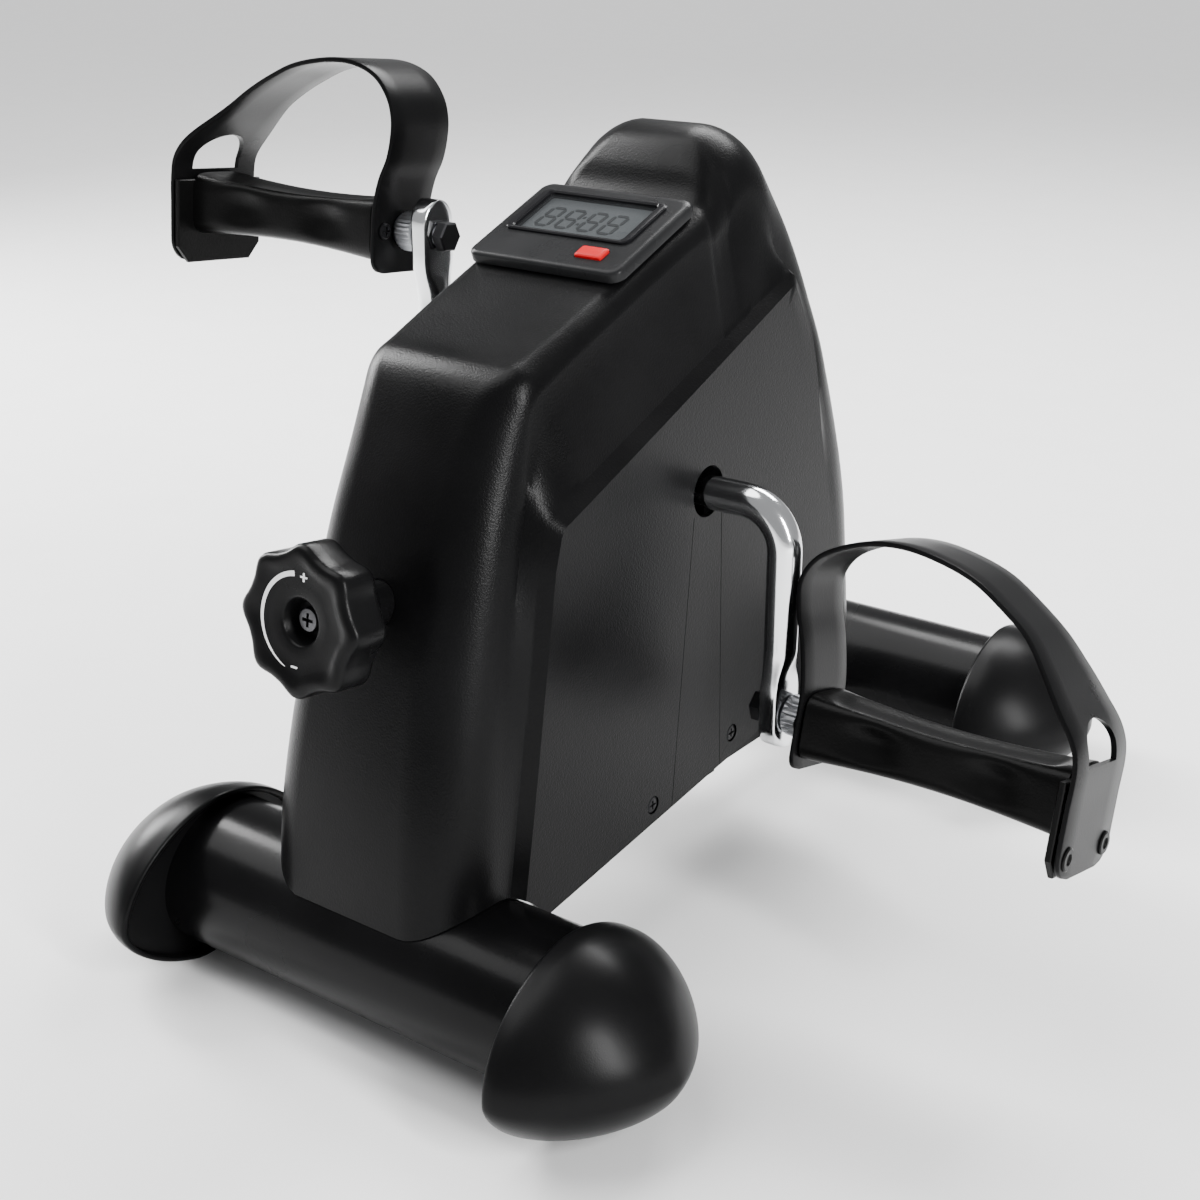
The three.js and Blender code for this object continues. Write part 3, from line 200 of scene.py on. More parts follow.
# ------------------------------------------------------------ materials
NOISE_LOW, NOISE_HIGH = 0.3, 0.7  # most of a noise texture's values lie between these
DRIFT_SCALE = 22  # of the slow change of colour and roughness over a surface
COAT_ROUGHNESS = 0.12
GRAIN_HEIGHT = 0.25  # mm
SMEAR_SCALE = 60  # of the uneven roughness of the window


def shader(name):
    """A new material, with its nodes and its links."""
    material = bpy.data.materials.new(name)
    material.use_nodes = True
    return material, material.node_tree.nodes, material.node_tree.links


def surface(name, color, rough, grain=None, vary=0.25, metal=0.0, coat=0.0, specular=0.08):
    """A shader whose colour and roughness drift with the place, over a fine grain.
    rough is its lowest and highest roughness; grain is (size in mm, strength)."""
    material, nodes, links = shader(name)
    base = nodes["Principled BSDF"]
    base.inputs["Metallic"].default_value = metal
    base.inputs["Coat Weight"].default_value = coat
    base.inputs["Coat Roughness"].default_value = COAT_ROUGHNESS
    base.inputs["Specular IOR Level"].default_value = specular
    place = nodes.new("ShaderNodeTexCoord")
    drift = nodes.new("ShaderNodeTexNoise")
    drift.inputs["Scale"].default_value = DRIFT_SCALE
    drift.inputs["Detail"].default_value = 5
    links.new(place.outputs["Object"], drift.inputs["Vector"])
    tint = nodes.new("ShaderNodeValToRGB")
    tint.color_ramp.elements[0].position = NOISE_LOW
    tint.color_ramp.elements[1].position = NOISE_HIGH
    tint.color_ramp.elements[0].color = (*[c * (1 - vary) for c in color], 1)
    tint.color_ramp.elements[1].color = (*[c * (1 + vary) for c in color], 1)
    links.new(drift.outputs["Fac"], tint.inputs["Fac"])
    links.new(tint.outputs["Color"], base.inputs["Base Color"])
    polish = nodes.new("ShaderNodeMapRange")
    polish.inputs["From Min"].default_value = NOISE_LOW
    polish.inputs["From Max"].default_value = NOISE_HIGH
    polish.inputs["To Min"].default_value = rough[0]
    polish.inputs["To Max"].default_value = rough[1]
    links.new(drift.outputs["Fac"], polish.inputs["Value"])
    links.new(polish.outputs["Result"], base.inputs["Roughness"])
    if grain:
        add_grain(material, place.outputs["Object"], *grain)
    return material


def add_grain(material, vector, size, strength):
    """Bumps a material's surface with a fine noise of a size in mm."""
    nodes, links = material.node_tree.nodes, material.node_tree.links
    speckle = nodes.new("ShaderNodeTexNoise")
    speckle.inputs["Scale"].default_value = 1 / (size * MM)
    speckle.inputs["Detail"].default_value = 2
    links.new(vector, speckle.inputs["Vector"])
    bump = nodes.new("ShaderNodeBump")
    bump.inputs["Strength"].default_value = strength
    bump.inputs["Distance"].default_value = GRAIN_HEIGHT * MM
    links.new(speckle.outputs["Fac"], bump.inputs["Height"])
    links.new(bump.outputs["Normal"], nodes["Principled BSDF"].inputs["Normal"])


def clear_window(name):
    """A dark see-through pane, unevenly polished."""
    material, nodes, _ = shader(name)
    base = nodes["Principled BSDF"]
    base.inputs["Base Color"].default_value = (0.03, 0.032, 0.034, 1)
    base.inputs["Alpha"].default_value = 0.22
    soft_roughness(material, 0.03, 0.09)
    return material


def soft_roughness(material, low, high):
    """Lets a material's roughness change with the place between low and high."""
    nodes, links = material.node_tree.nodes, material.node_tree.links
    smear = nodes.new("ShaderNodeTexNoise")
    smear.inputs["Scale"].default_value = SMEAR_SCALE
    spread = nodes.new("ShaderNodeMapRange")
    spread.inputs["To Min"].default_value = low
    spread.inputs["To Max"].default_value = high
    links.new(smear.outputs["Fac"], spread.inputs["Value"])
    links.new(spread.outputs["Result"], nodes["Principled BSDF"].inputs["Roughness"])


MATERIALS = {
    "housing_black": surface("housing_plastic", (0.0028, 0.0028, 0.003), (0.27, 0.36), (0.7, 0.4)),
    "tube_black": surface("tube_paint", (0.0028, 0.0028, 0.003), (0.2, 0.3), (1.6, 0.12), coat=0.03),
    "cap_black": surface("cap_plastic", (0.0034, 0.0034, 0.0036), (0.28, 0.36), (0.5, 0.15)),
    "zinc_steel": surface("zinc_steel", (0.46, 0.47, 0.49), (0.28, 0.42), (0.4, 0.15), metal=1),
    "chrome": surface("chrome", (0.80, 0.81, 0.82), (0.10, 0.17), (2.5, 0.04), vary=0.04, metal=1),
    "nut_black": surface("black_oxide", (0.012, 0.012, 0.013), (0.25, 0.4), (0.5, 0.2), metal=0.6),
    "nylon": surface("nylon", (0.72, 0.71, 0.66), (0.45, 0.55), (0.8, 0.1), vary=0.06),
    "drum_grey": surface("cast_drum", (0.12, 0.12, 0.125), (0.5, 0.7), (0.9, 0.5), metal=0.8),
    "magnet": surface("magnet", (0.3, 0.3, 0.32), (0.25, 0.35), (0.4, 0.1), metal=1),
    "felt": surface("felt", (0.09, 0.08, 0.07), (0.9, 1.0), (0.3, 1.0), vary=0.3),
    "knob_black": surface("knob_plastic", (0.0036, 0.0036, 0.0038), (0.24, 0.33), (0.5, 0.18)),
    "lead_black": surface("lead_rubber", (0.03, 0.03, 0.03), (0.5, 0.6), (0.4, 0.1)),
    "pedal_black": surface("pedal_plastic", (0.0032, 0.0032, 0.0032), (0.28, 0.4), (0.9, 0.35)),
    "strap_black": surface("strap_plastic", (0.0036, 0.0036, 0.0038), (0.26, 0.34), (0.8, 0.15)),
    "bezel_grey": surface("bezel_plastic", (0.013, 0.0132, 0.0138), (0.24, 0.32), (0.5, 0.12)),
    "lcd": surface("lcd_glass", (0.11, 0.12, 0.125), (0.25, 0.32), vary=0.08),
    "lens": clear_window("window_glass"),
    "board_green": surface("solder_mask", (0.03, 0.12, 0.05), (0.3, 0.5), (1.0, 0.2)),
    "button_red": surface("button_plastic", (0.5, 0.008, 0.012), (0.3, 0.38), (0.4, 0.15), vary=0.06),
}
WHITE_PRINT = surface("white_print", (0.8, 0.8, 0.8), (0.45, 0.55), (0.3, 0.1), vary=0.03)
SEGMENT_PRINT = surface("segment_print", (0.035, 0.038, 0.04), (0.3, 0.4), vary=0.1)
# zinc steel of the knob's screw, painted darker as painted shade for the deep hole it sits in
KNOB_SCREW_ZINC_PAINTED_SHADE = surface("zinc_painted_shade", (0.1, 0.1, 0.105), (0.3, 0.45), (0.4, 0.15), metal=1)
FRAME_BLACK = surface("window_frame", (0.008, 0.008, 0.009), (0.2, 0.28), (0.5, 0.1))

for entry in frame["record"]["subparts"]:
    node = frame["nodes"][entry["node"]]
    node.data.materials.clear()
    node.data.materials.append(MATERIALS[entry["material_slot"]])


# ------------------------------------------------------------ camera, floor and lights
def direction(azimuth, elevation):
    """The unit vector from the machine towards a viewer there; azimuth 0 is straight in front."""
    a, e = math.radians(azimuth), math.radians(elevation)
    return Vector((math.sin(a) * math.cos(e), -math.cos(a) * math.cos(e), math.sin(e)))


CAMERA_AZIMUTH, CAMERA_ELEVATION = 36.55, 21.83
CAMERA_LENS, CAMERA_SENSOR = 57.0, 36
CAMERA_TARGET = Vector((24.55, -66.04, 143.5))
CAMERA_DISTANCE = 715.59
FLOOR_HALF = 14.0  # in metres
FLOOR_COLOR = (0.82, 0.82, 0.82)
WORLD_COLOR = (0.98, 0.985, 1, 1)
WORLD_STRENGTH = 0.42
LIGHT_TARGET = Vector((0, 0, 0.16))  # in metres, about the middle of the machine


def add_camera():
    back = direction(CAMERA_AZIMUTH, CAMERA_ELEVATION)
    camera = bpy.data.objects.new("camera", bpy.data.cameras.new("camera"))
    camera.data.lens = CAMERA_LENS
    camera.data.sensor_width = CAMERA_SENSOR
    camera.data.clip_start = 0.01
    camera.location = (CAMERA_TARGET + back * CAMERA_DISTANCE) * MM
    camera.rotation_mode = "QUATERNION"
    camera.rotation_quaternion = (-back).to_track_quat("-Z", "Y")
    bpy.context.scene.collection.objects.link(camera)
    bpy.context.scene.camera = camera


def add_area(name, azimuth, elevation, distance, size, power):
    """A rectangular lamp of a width and height in metres, turned towards the machine."""
    light = bpy.data.objects.new(name, bpy.data.lights.new(name, "AREA"))
    light.data.shape = "RECTANGLE"
    light.data.size, light.data.size_y = size
    light.data.energy = power
    toward = direction(azimuth, elevation)
    light.location = LIGHT_TARGET + toward * distance
    light.rotation_mode = "QUATERNION"
    light.rotation_quaternion = (-toward).to_track_quat("-Z", "Y")
    bpy.context.scene.collection.objects.link(light)


def add_sun(name, azimuth, elevation, spread, strength):
    """A wide soft source far away, which lights the whole floor evenly."""
    light = bpy.data.objects.new(name, bpy.data.lights.new(name, "SUN"))
    light.data.angle = spread
    light.data.energy = strength
    light.rotation_mode = "QUATERNION"
    light.rotation_quaternion = (-direction(azimuth, elevation)).to_track_quat("-Z", "Y")
    bpy.context.scene.collection.objects.link(light)


def add_floor():
    mesh = bpy.data.meshes.new("floor")
    corners = [(FLOOR_HALF * x, FLOOR_HALF * y, 0) for x, y in ((-1, -1), (1, -1), (1, 1), (-1, 1))]
    mesh.from_pydata(corners, [], [(0, 1, 2, 3)])
    floor = bpy.data.objects.new("floor", mesh)
    bpy.context.scene.collection.objects.link(floor)
    mesh.materials.append(surface("floor_paper", FLOOR_COLOR, (0.7, 0.8), vary=0.01))


def add_world():
    world = bpy.data.worlds.new("studio")
    world.use_nodes = True
    world.node_tree.nodes["Background"].inputs["Color"].default_value = WORLD_COLOR
    world.node_tree.nodes["Background"].inputs["Strength"].default_value = WORLD_STRENGTH
    bpy.context.scene.world = world


add_camera()
add_floor()
add_world()
add_area("left_box", -92, 26, 1.5, (0.32, 1.2), 44)
add_area("right_box", 74, 24, 1.7, (0.16, 1.0), 44)
add_area("back_box", 190, 52, 1.7, (1.2, 0.5), 44)
add_sun("sky_panel", -70, 62, math.radians(50), 3.0)


# ------------------------------------------------------------ housing
EDGE_Y, EDGE_Z, EDGE_SLOPE = -134, 47.5, 0.135  # a point of the housing's lower edge, and its slope


def lower_edge(y):
    return EDGE_Z + EDGE_SLOPE * (y - EDGE_Y)


FAN_Z = lower_edge(FAN_Y)
# (y, z, half width there, radius of the edge there), up the nose, over the top, down the back
OUTLINE = [
    (-184, lower_edge(-184), 47.5, 24), (-183.3, 56.5, 47.3, 24), (-181.2, 82.5, 46.6, 24),
    (-176.5, 110.5, 45.2, 24), (-167.5, 146.5, 43.2, 24), (-153.5, 189.5, 40.6, 23),
    (-142, 216.5, 38.5, 21), (-131.5, 236.5, 37, 17), (-123, 244, 37, 12), (-112, 247.8, 37, 10),
    (-85, 258, 37.5, 9), (-45, 273.3, 38, 9), (-21, 282.5, 38.5, 10), (-13, 288, 38.5, 14),
    (-7, 297.5, 38, 20), (2, 306.5, 37.5, 25), (15, 309.5, 37.5, 26), (28, 303.5, 38.5, 26),
    (40, 288, 40, 25), (49.5, 270, 42, 23), (57.5, 250, 44.5, 22), (65.5, 226.5, 48, 22),
    (76, 192.5, 50, 22), (87.5, 154.5, 50, 22), (93.5, 117.5, 50, 22), (96, 96.5, 50, 22),
    (97, lower_edge(97), 50, 22),
]
CREASE = [(-152, 36, 46.5), (-148.5, 62, 46.3), (-126, 195.2, 45), (24, 254, 46), (90, 280, 50)]
CHAMFER = 4.5
CREASE_FADE_Y = (10, 45)
SLOT_FRONT = (-53.5, -41.5)
SLOT_REAR = (-19.5, -22.5)
SLOT_TOP = CRANK_Z - 8
SIDE_SCREWS = {"front": (-66, 64.5), "rear": (-11, 74)}
SIDE_HEAD_ROOM = 3.7  # radius of the recess round a side screw's head
SIDE_SEAT_DEPTH, SIDE_FACE_DEPTH = 1.2, 0.2  # of the recess, and of the head's face in it
SADDLE_GAP = 0.6  # between the front tube and the housing over it
CUTTER_X = 60  # past the housing's sides
EXIT_RADIUS = 10  # hole for the crank rod
NOSE_HOLE = 8.3  # radius of the hole for the nose collar
POCKET_HALF, POCKET_CORNER = (29.3, 21.3), 4.3  # for the monitor case


def crease_on_ray(dy, dz):
    """How far out the ray from the fan point meets the crease, and the half width there."""
    for (y0, z0, x0), (y1, z1, x1) in zip(CREASE, CREASE[1:]):
        ey, ez = y1 - y0, z1 - z0
        cross = dy * ez - dz * ey
        reach = ((y0 - FAN_Y) * ez - (z0 - FAN_Z) * ey) / cross
        along = ((y0 - FAN_Y) * dz - (z0 - FAN_Z) * dy) / cross
        if reach > 0 and 0 <= along <= 1:
            return reach, x0 + along * (x1 - x0)
    return 1e9, PANEL_X


def half_section(before, here, after, inset):
    """Half a section of the shell: over the edge, down the side, past the crease to the panel."""
    y, z, width, edge = here
    reach = math.hypot(y - FAN_Y, z - FAN_Z)
    dy, dz = (y - FAN_Y) / reach, (z - FAN_Z) / reach
    tangent = Vector((after[0] - before[0], after[1] - before[1])).normalized()
    facing = max(abs(dy * tangent.y - dz * tangent.x), 0.75)
    rim = reach - inset / facing
    radius = max(edge - inset, 1)
    half = width - inset
    arc_steps = 12
    profile = []
    for i in range(arc_steps + 1):
        angle = i / arc_steps * math.pi / 2
        x = half - radius + radius * math.sin(angle)
        profile.append((x, rim - radius * (1 - math.cos(angle)) / facing))
    shoulder = rim - radius / facing
    crease_reach, crease_x = crease_on_ray(dy, dz)
    foot = min(crease_reach, shoulder - 5)
    fade = 1 - smoothstep(FAN_Y + dy * foot, *CREASE_FADE_Y)  # 0 where the crease has died away
    foot_x = min(crease_x, PANEL_X) * fade + PANEL_X * (1 - fade) - inset
    for share in (0.25, 0.5, 0.75, 0.93):
        profile.append((half + (foot_x - half) * share, shoulder + (foot - shoulder) * share))
    profile.append((foot_x, foot))
    top_x = PANEL_X - inset
    for share in (0.12, 0.5, 0.85):
        profile.append((foot_x + (top_x - foot_x) * share, foot - CHAMFER * share))
    profile.append((top_x, foot - CHAMFER))
    for share in (0.96, 0.8, 0.5, 0.2):
        profile.append((top_x, (foot - CHAMFER) * share))
    return [(x, FAN_Y + dy * distance, FAN_Z + dz * distance) for x, distance in profile]


def housing_shell():
    outline = spline(OUTLINE, 6)
    last = len(outline) - 1
    points, faces, skins = [], [], []
    for inset in (0.0, WALL):
        rows = []
        for i, here in enumerate(outline):
            half = half_section(outline[max(i - 1, 0)], here, outline[min(i + 1, last)], inset)
            ring = list(reversed(half)) + [(-x, y, z) for x, y, z in half[1:]]
            ring = [(PANEL_X - inset, FAN_Y, FAN_Z), *ring, (inset - PANEL_X, FAN_Y, FAN_Z)]
            rows.append(list(range(len(points), len(points) + len(ring))))
            points += ring
        skins.append(rows)
        for low, high in zip(rows, rows[1:]):
            for j in range(len(low) - 1):
                faces.append((low[j], low[j + 1], high[j + 1], high[j]))
    for k in (0, last):
        outer, inner = skins[0][k], skins[1][k]
        for j in range(len(outer) - 1):
            faces.append((outer[j], outer[j + 1], inner[j + 1], inner[j]))
    return make("housing_shell", points, faces)


def rod_x(radius, low, high, y, z, facets=40):
    """A cylinder along x, for cutting."""
    circle = [(y + radius * math.cos(2 * math.pi * i / facets),
               z + radius * math.sin(2 * math.pi * i / facets)) for i in range(facets)]
    return loft("cutter", [[(x, a, b) for a, b in circle] for x in (low, high)])


def plate_x(outline, low, high):
    """A flat outline of (y, z) points made thick along x, for cutting."""
    return loft("cutter", [[(x, y, z) for y, z in outline] for x in (low, high)])


def monitor_place():
    return Matrix.Translation(MONITOR_MIDDLE) @ Matrix.Rotation(MONITOR_TILT, 4, "X")


def knob_place():
    return Matrix.Translation(KNOB_FACE) @ Matrix.Rotation(-KNOB_TILT, 4, "X")


def slot_outline():
    """The slot under a crank exit, as (y, z) points, open through the lower edge."""
    (front_foot, front_top), (rear_foot, rear_top) = SLOT_FRONT, SLOT_REAR
    below = lower_edge(front_foot) - 20
    return [(rear_top, SLOT_TOP), (front_top, SLOT_TOP), (front_foot, lower_edge(front_foot)),
            (front_foot, below), (rear_foot, below), (rear_foot, lower_edge(rear_foot))]


def build_housing():
    saddle = rod_x(TUBE_RADIUS + SADDLE_GAP, -CUTTER_X, CUTTER_X, -TUBE_Y, TUBE_HEIGHT, 96)
    above_tube = TUBE_HEIGHT + 8
    below_outline = [(-200, -20), (-TUBE_Y, -20), (-TUBE_Y, above_tube), (-200, above_tube)]
    below = plate_x(below_outline, -CUTTER_X, CUTTER_X)
    nose_rings = []
    for y in (20, 60):
        angles = [2 * math.pi * i / 40 for i in range(40)]
        nose_rings.append([(NOSE_HOLE * math.cos(a), y, NOSE_HOLE * math.sin(a)) for a in angles])
    nose_hole = loft("cutter", nose_rings, knob_place())
    pocket_outline = rounded_rectangle(*POCKET_HALF, POCKET_CORNER)
    pocket_rings = [[(x, y, z) for x, y in pocket_outline] for z in (-32, 5)]
    pocket = loft("cutter", pocket_rings, monitor_place())
    cutters = [saddle, below, nose_hole, pocket]
    for hand in SIDES.values():
        low, high = sorted((hand * 40, hand * CUTTER_X))
        cutters.append(plate_x(slot_outline(), low, high))
        cutters.append(rod_x(EXIT_RADIUS, low, high, CRANK_Y, CRANK_Z))
        for y, z in SIDE_SCREWS.values():
            seat, outside = sorted((hand * (PANEL_X - SIDE_SEAT_DEPTH), hand * CUTTER_X))
            cutters.append(rod_x(SIDE_HEAD_ROOM, seat, outside, y, z))
    shell = cut(housing_shell(), cutters)
    finish_piece(shell, "frame", "housing_black", MATERIALS["housing_black"], "housing")


build_housing()


# ------------------------------------------------------------ stabiliser tubes and end caps
CAP_RIM_X, CAP_RIM_LEAN, CAP_SKIRT, CAP_DOME = 83.5, 5.5, 6, 42
CAP_HALF_DEPTH, CAP_OFFSET, CAP_WAIST_Z, CAP_RISE, CAP_DROP = 49.3, 4.8, 29.4, 39.5, 31.4
CAP_UPPER_POWER, CAP_LOWER_POWER, CAP_DOME_POWER = 1.11, 1.25, 1.27
CAP_LIP = 0.94  # size of the recess inside the rim, as a share of the rim
CAP_STEPS = 30
TUBE_WALL = 1.6
TUBE_EDGE = 0.4  # bevel at the tube's ends


def signed_power(value, power):
    return math.copysign(abs(value) ** power, value)


def cap_ring(x, share, lean=0.0, floor=0.0, count=96):
    """One ring of a right-hand front cap, about the tube's axis line at y = 0."""
    ring = []
    for i in range(count):
        angle = 2 * math.pi * i / count
        upper = math.sin(angle) > 0
        power = CAP_UPPER_POWER if upper else CAP_LOWER_POWER
        across = signed_power(math.cos(angle), power)
        up = signed_power(math.sin(angle), power)
        z = max(CAP_WAIST_Z + share * up * (CAP_RISE if upper else CAP_DROP), floor)
        along = x + lean * (1 - z / (CAP_WAIST_Z + CAP_RISE))
        ring.append((along, -CAP_OFFSET + share * CAP_HALF_DEPTH * across, z))
    return ring


def build_cap(end, side):
    recess_x = CAP_RIM_X + 4
    rings = [
        cap_ring(recess_x, CAP_LIP * 0.99, CAP_RIM_LEAN, 1.4),
        cap_ring(CAP_RIM_X + 1, CAP_LIP, CAP_RIM_LEAN, 1.4),
        cap_ring(CAP_RIM_X + 0.2, CAP_LIP + 0.008, CAP_RIM_LEAN, 1.0),
        cap_ring(CAP_RIM_X, 0.965, CAP_RIM_LEAN, 0.5),
        cap_ring(CAP_RIM_X, 0.985, CAP_RIM_LEAN),
        cap_ring(CAP_RIM_X + 0.5, 0.997, CAP_RIM_LEAN),
        cap_ring(CAP_RIM_X + 1.5, 1, CAP_RIM_LEAN),
    ]
    for step in range(CAP_STEPS + 1):
        angle = math.radians(88 * step / CAP_STEPS)
        x = CAP_RIM_X + CAP_SKIRT + CAP_DOME * math.sin(angle) ** CAP_DOME_POWER
        rings.append(cap_ring(x, math.cos(angle) ** CAP_DOME_POWER))
    flip = Matrix.Diagonal((SIDES[side], 1 if end == "front" else -1, 1, 1))
    place = Matrix.Translation((0, ENDS[end] * TUBE_Y, 0)) @ flip
    cap = loft(f"cap_{end}_{side}", rings, place, sharp=50)
    finish_piece(cap, "frame", "cap_black", MATERIALS["cap_black"], f"end_cap_{end}_{side}")


def build_tube(end):
    inner, end_x = TUBE_RADIUS - TUBE_WALL, TUBE_HALF_LENGTH
    profile = [(inner, end_x), (TUBE_RADIUS - TUBE_EDGE, end_x), (TUBE_RADIUS, end_x - TUBE_EDGE)]
    profile += [(TUBE_RADIUS, end_x * share) for share in (0.8, 0.4, 0, -0.4, -0.8)]
    profile += [(TUBE_RADIUS, TUBE_EDGE - end_x), (TUBE_RADIUS - TUBE_EDGE, -end_x), (inner, -end_x)]
    rings = [[(x, radius * math.cos(a), radius * math.sin(a))
              for a in (2 * math.pi * i / 128 for i in range(128))] for radius, x in profile]
    place = Matrix.Translation((0, ENDS[end] * TUBE_Y, TUBE_HEIGHT))
    tube = loft(f"tube_{end}", rings, place, closed=True)
    node = f"{end}_stabiliser_tube"
    finish_piece(tube, "frame", "tube_black", MATERIALS["tube_black"], node)


for end_name in ENDS:
    build_tube(end_name)
    for side_name in SIDES:
        build_cap(end_name, side_name)


# ------------------------------------------------------------ crank
EYE_END, EYE_HALF, EYE_THICKNESS, FLAT_LENGTH = 14, 9, 9, 26
ROUND_PART = 99  # a distance from the spindle at which the rod is plain and round


def rod_section(distance):
    """Half thickness, half width and boxiness of the crank rod at a distance above the spindle."""
    narrow = 1 - smoothstep(distance, 8, FLAT_LENGTH)
    flat = 1 - smoothstep(distance, 14, FLAT_LENGTH)
    thick = ROD_RADIUS + (EYE_THICKNESS / 2 - ROD_RADIUS) * flat
    wide = ROD_RADIUS + (EYE_HALF - ROD_RADIUS) * narrow
    tip = EYE_HALF - EYE_END
    if distance < tip:
        wide = math.sqrt(max(EYE_HALF ** 2 - (distance - tip) ** 2, 0.04))
    return thick, wide, 2 + 3 * narrow


def rod_ring(centre, across, distance):
    """A ring about a point of the rod's line; across is the direction of its thickness."""
    thick, wide, boxy = rod_section(distance)
    ring = []
    for i in range(40):
        angle = 2 * math.pi * i / 40
        a = thick * signed_power(math.cos(angle), 2 / boxy)
        b = wide * signed_power(math.sin(angle), 2 / boxy)
        ring.append((centre[0] + a * across[0], b, centre[1] + a * across[1]))
    return ring


def build_crank():
    """The rod from the right arm's tip up and round the bend, then the same again turned about."""
    half = []
    tip = EYE_HALF - EYE_END
    for step in range(13):
        distance = tip - EYE_HALF * math.cos(step / 12 * math.pi / 2)
        half.append(((ARM_X, -THROW + distance), (1, 0), distance))
    for step in range(1, 25):
        distance = tip + step * (FLAT_LENGTH + 4 - tip) / 24
        half.append(((ARM_X, -THROW + distance), (1, 0), distance))
    for step in range(17):
        angle = step / 16 * math.pi / 2
        centre = (ARM_X - BEND_RADIUS + BEND_RADIUS * math.cos(angle),
                  -BEND_RADIUS + BEND_RADIUS * math.sin(angle))
        half.append((centre, (math.cos(angle), math.sin(angle)), ROUND_PART))
    rings = [rod_ring(*station) for station in half]
    for centre, across, distance in reversed(half):
        rings.append(rod_ring((-centre[0], -centre[1]), across, distance))
    place = Matrix.Translation((0, CRANK_Y, CRANK_Z))
    rod = loft("crank_bar", rings, place, sharp=48)
    finish_piece(rod, "crank", "chrome", MATERIALS["chrome"], "crank_rod")


build_crank()


# ------------------------------------------------------------ pedals
BODY_FROM, BODY_TO = 102.5, 206
STRAP_THICKNESS, BAND_THICKNESS, STRAP_WIDTH, PLATE_WIDTH = 2.4, 2.1, 33, 47
INNER_FOOT, OUTER_FOOT = -17, -25
STUD_Y, STUD_Z = 17, -17
NUT_RADIUS = 6.3  # to the corners
SPINDLE_BORE, HEAD_ROOM, HEAD_ROOM_FROM = 5.3, 7.5, 198
STUD_HOLE, SPINDLE_HOLE = 3.3, 5.8  # in the strap
KNURLS, KNURL_HEIGHT = 28, 0.25
TREAD_HALF_DEPTH, TREAD_HALF_HEIGHT, TREAD_WAIST = 15.5, 13, 2.5
SQUARENESS = 0.42  # of the tread's section: 1 is an ellipse, 0 a rectangle
DISH_DEPTH, DIP_DEPTH, DIP_LENGTH = 3.2, 3.2, 0.1
DIP_SHARES = (0.27, 0.73)  # where the finger dips are along the tread
INNER_SIDE_X = 150  # short of it, a point of the strap belongs to its inner end
INNER_CORNER, OUTER_CORNER = 6, 10  # radii of the corners at the strap's ends
WIDENING = (178, 206)  # where the strap grows to the end plate's width
WINDOW_WIDE, WINDOW_LOW, ARCH_Z, ARCH_RISE = 13, 14, 20, 9  # the opening in the strap's outer end
STRAP_PATHS = {
    "right": [  # (x, z) points from the inner foot, over the shoe, to the outer foot
        (101, INNER_FOOT), (101, -9), (101, 0), (101, 14), (98, 30), (94, 43), (93, 54), (98, 63),
        (108, 69), (120, 73), (133, 74), (147, 72), (160, 68), (172, 61), (183, 53), (192, 43),
        (200, 33), (207, 24), (210, 15), (210, 0), (210, -14), (210, OUTER_FOOT),
    ],
    "left": [
        (101, INNER_FOOT), (101, -9), (101, 0), (100.5, 10), (98, 20), (94.3, 28), (92.5, 36),
        (92.3, 44), (95, 52), (102, 59.5), (113, 63.5), (127, 64), (145, 61), (159, 55.5),
        (174, 47.5), (189, 37), (202, 27), (208.5, 19), (210, 10), (210, 0), (210, -14),
        (210, OUTER_FOOT),
    ],
}


def pedal_place(side):
    """The pedal's own frame: x outwards from the machine's middle, the spindle along x."""
    hand = SIDES[side]
    move = Matrix.Translation((0, CRANK_Y, CRANK_Z - hand * THROW))
    return move @ Matrix.Rotation(PEDAL_PITCH[side], 4, "X") @ Matrix.Diagonal((hand, 1, 1, 1))


def tread_ring(x):
    """The tread's section at x: a rounded bar, dished on top, with two finger dips in front."""
    share = (x - BODY_FROM) / (BODY_TO - BODY_FROM)
    waist = math.sin(share * math.pi)
    half_y = TREAD_HALF_DEPTH - TREAD_WAIST * waist
    half_z = TREAD_HALF_HEIGHT - TREAD_WAIST * waist
    middle = smoothstep(share, 0.03, 0.12) * (1 - smoothstep(share, 0.88, 0.97))
    ring = []
    for i in range(64):
        angle = 2 * math.pi * i / 64
        y = half_y * signed_power(math.cos(angle), SQUARENESS)
        z = half_z * signed_power(math.sin(angle), SQUARENESS)
        if z > 0:
            z -= DISH_DEPTH * middle * max(1 - (y / (half_y * 0.8)) ** 2, 0) * (z / half_z)
        if y < 0:
            dip = sum(math.exp(-((share - place) / DIP_LENGTH) ** 2) for place in DIP_SHARES)
            y += DIP_DEPTH * dip * math.exp(-((z - 1) / 6) ** 2) * (-y / half_y)
        ring.append((x, y, z))
    return ring


def drill(radius, low, high, place):
    """A cylinder along x from low to high, for cutting."""
    profile = [(AXIS, low), (radius, low), (radius, high), (AXIS, high)]
    return turn_x("cutter", profile, place)


def spindle_room(side):
    """Cutters for the spindle's bore and, at the outer end, the room for its head."""
    place = pedal_place(side)
    return [drill(SPINDLE_BORE, 90, 215, place), drill(HEAD_ROOM, HEAD_ROOM_FROM, 215, place)]


def build_tread(side):
    stations = [BODY_FROM + 0.01, BODY_FROM + 0.8]
    stations += [BODY_FROM + 0.8 + (BODY_TO - BODY_FROM - 1.2) * i / 70 for i in range(1, 71)]
    rings = [tread_ring(x) for x in stations]
    first = [(BODY_FROM, y * 0.95, z * 0.95) for _, y, z in rings[0]]
    tread = loft(f"pedal_tread_{side}", [first, *rings[1:]], pedal_place(side), sharp=40)
    cut(tread, spindle_room(side), sharp=40)
    slot = "pedal_black"
    finish_piece(tread, f"pedal_{side}", slot, MATERIALS[slot], f"pedal_body_{side}")
    build_outer_plate(side)


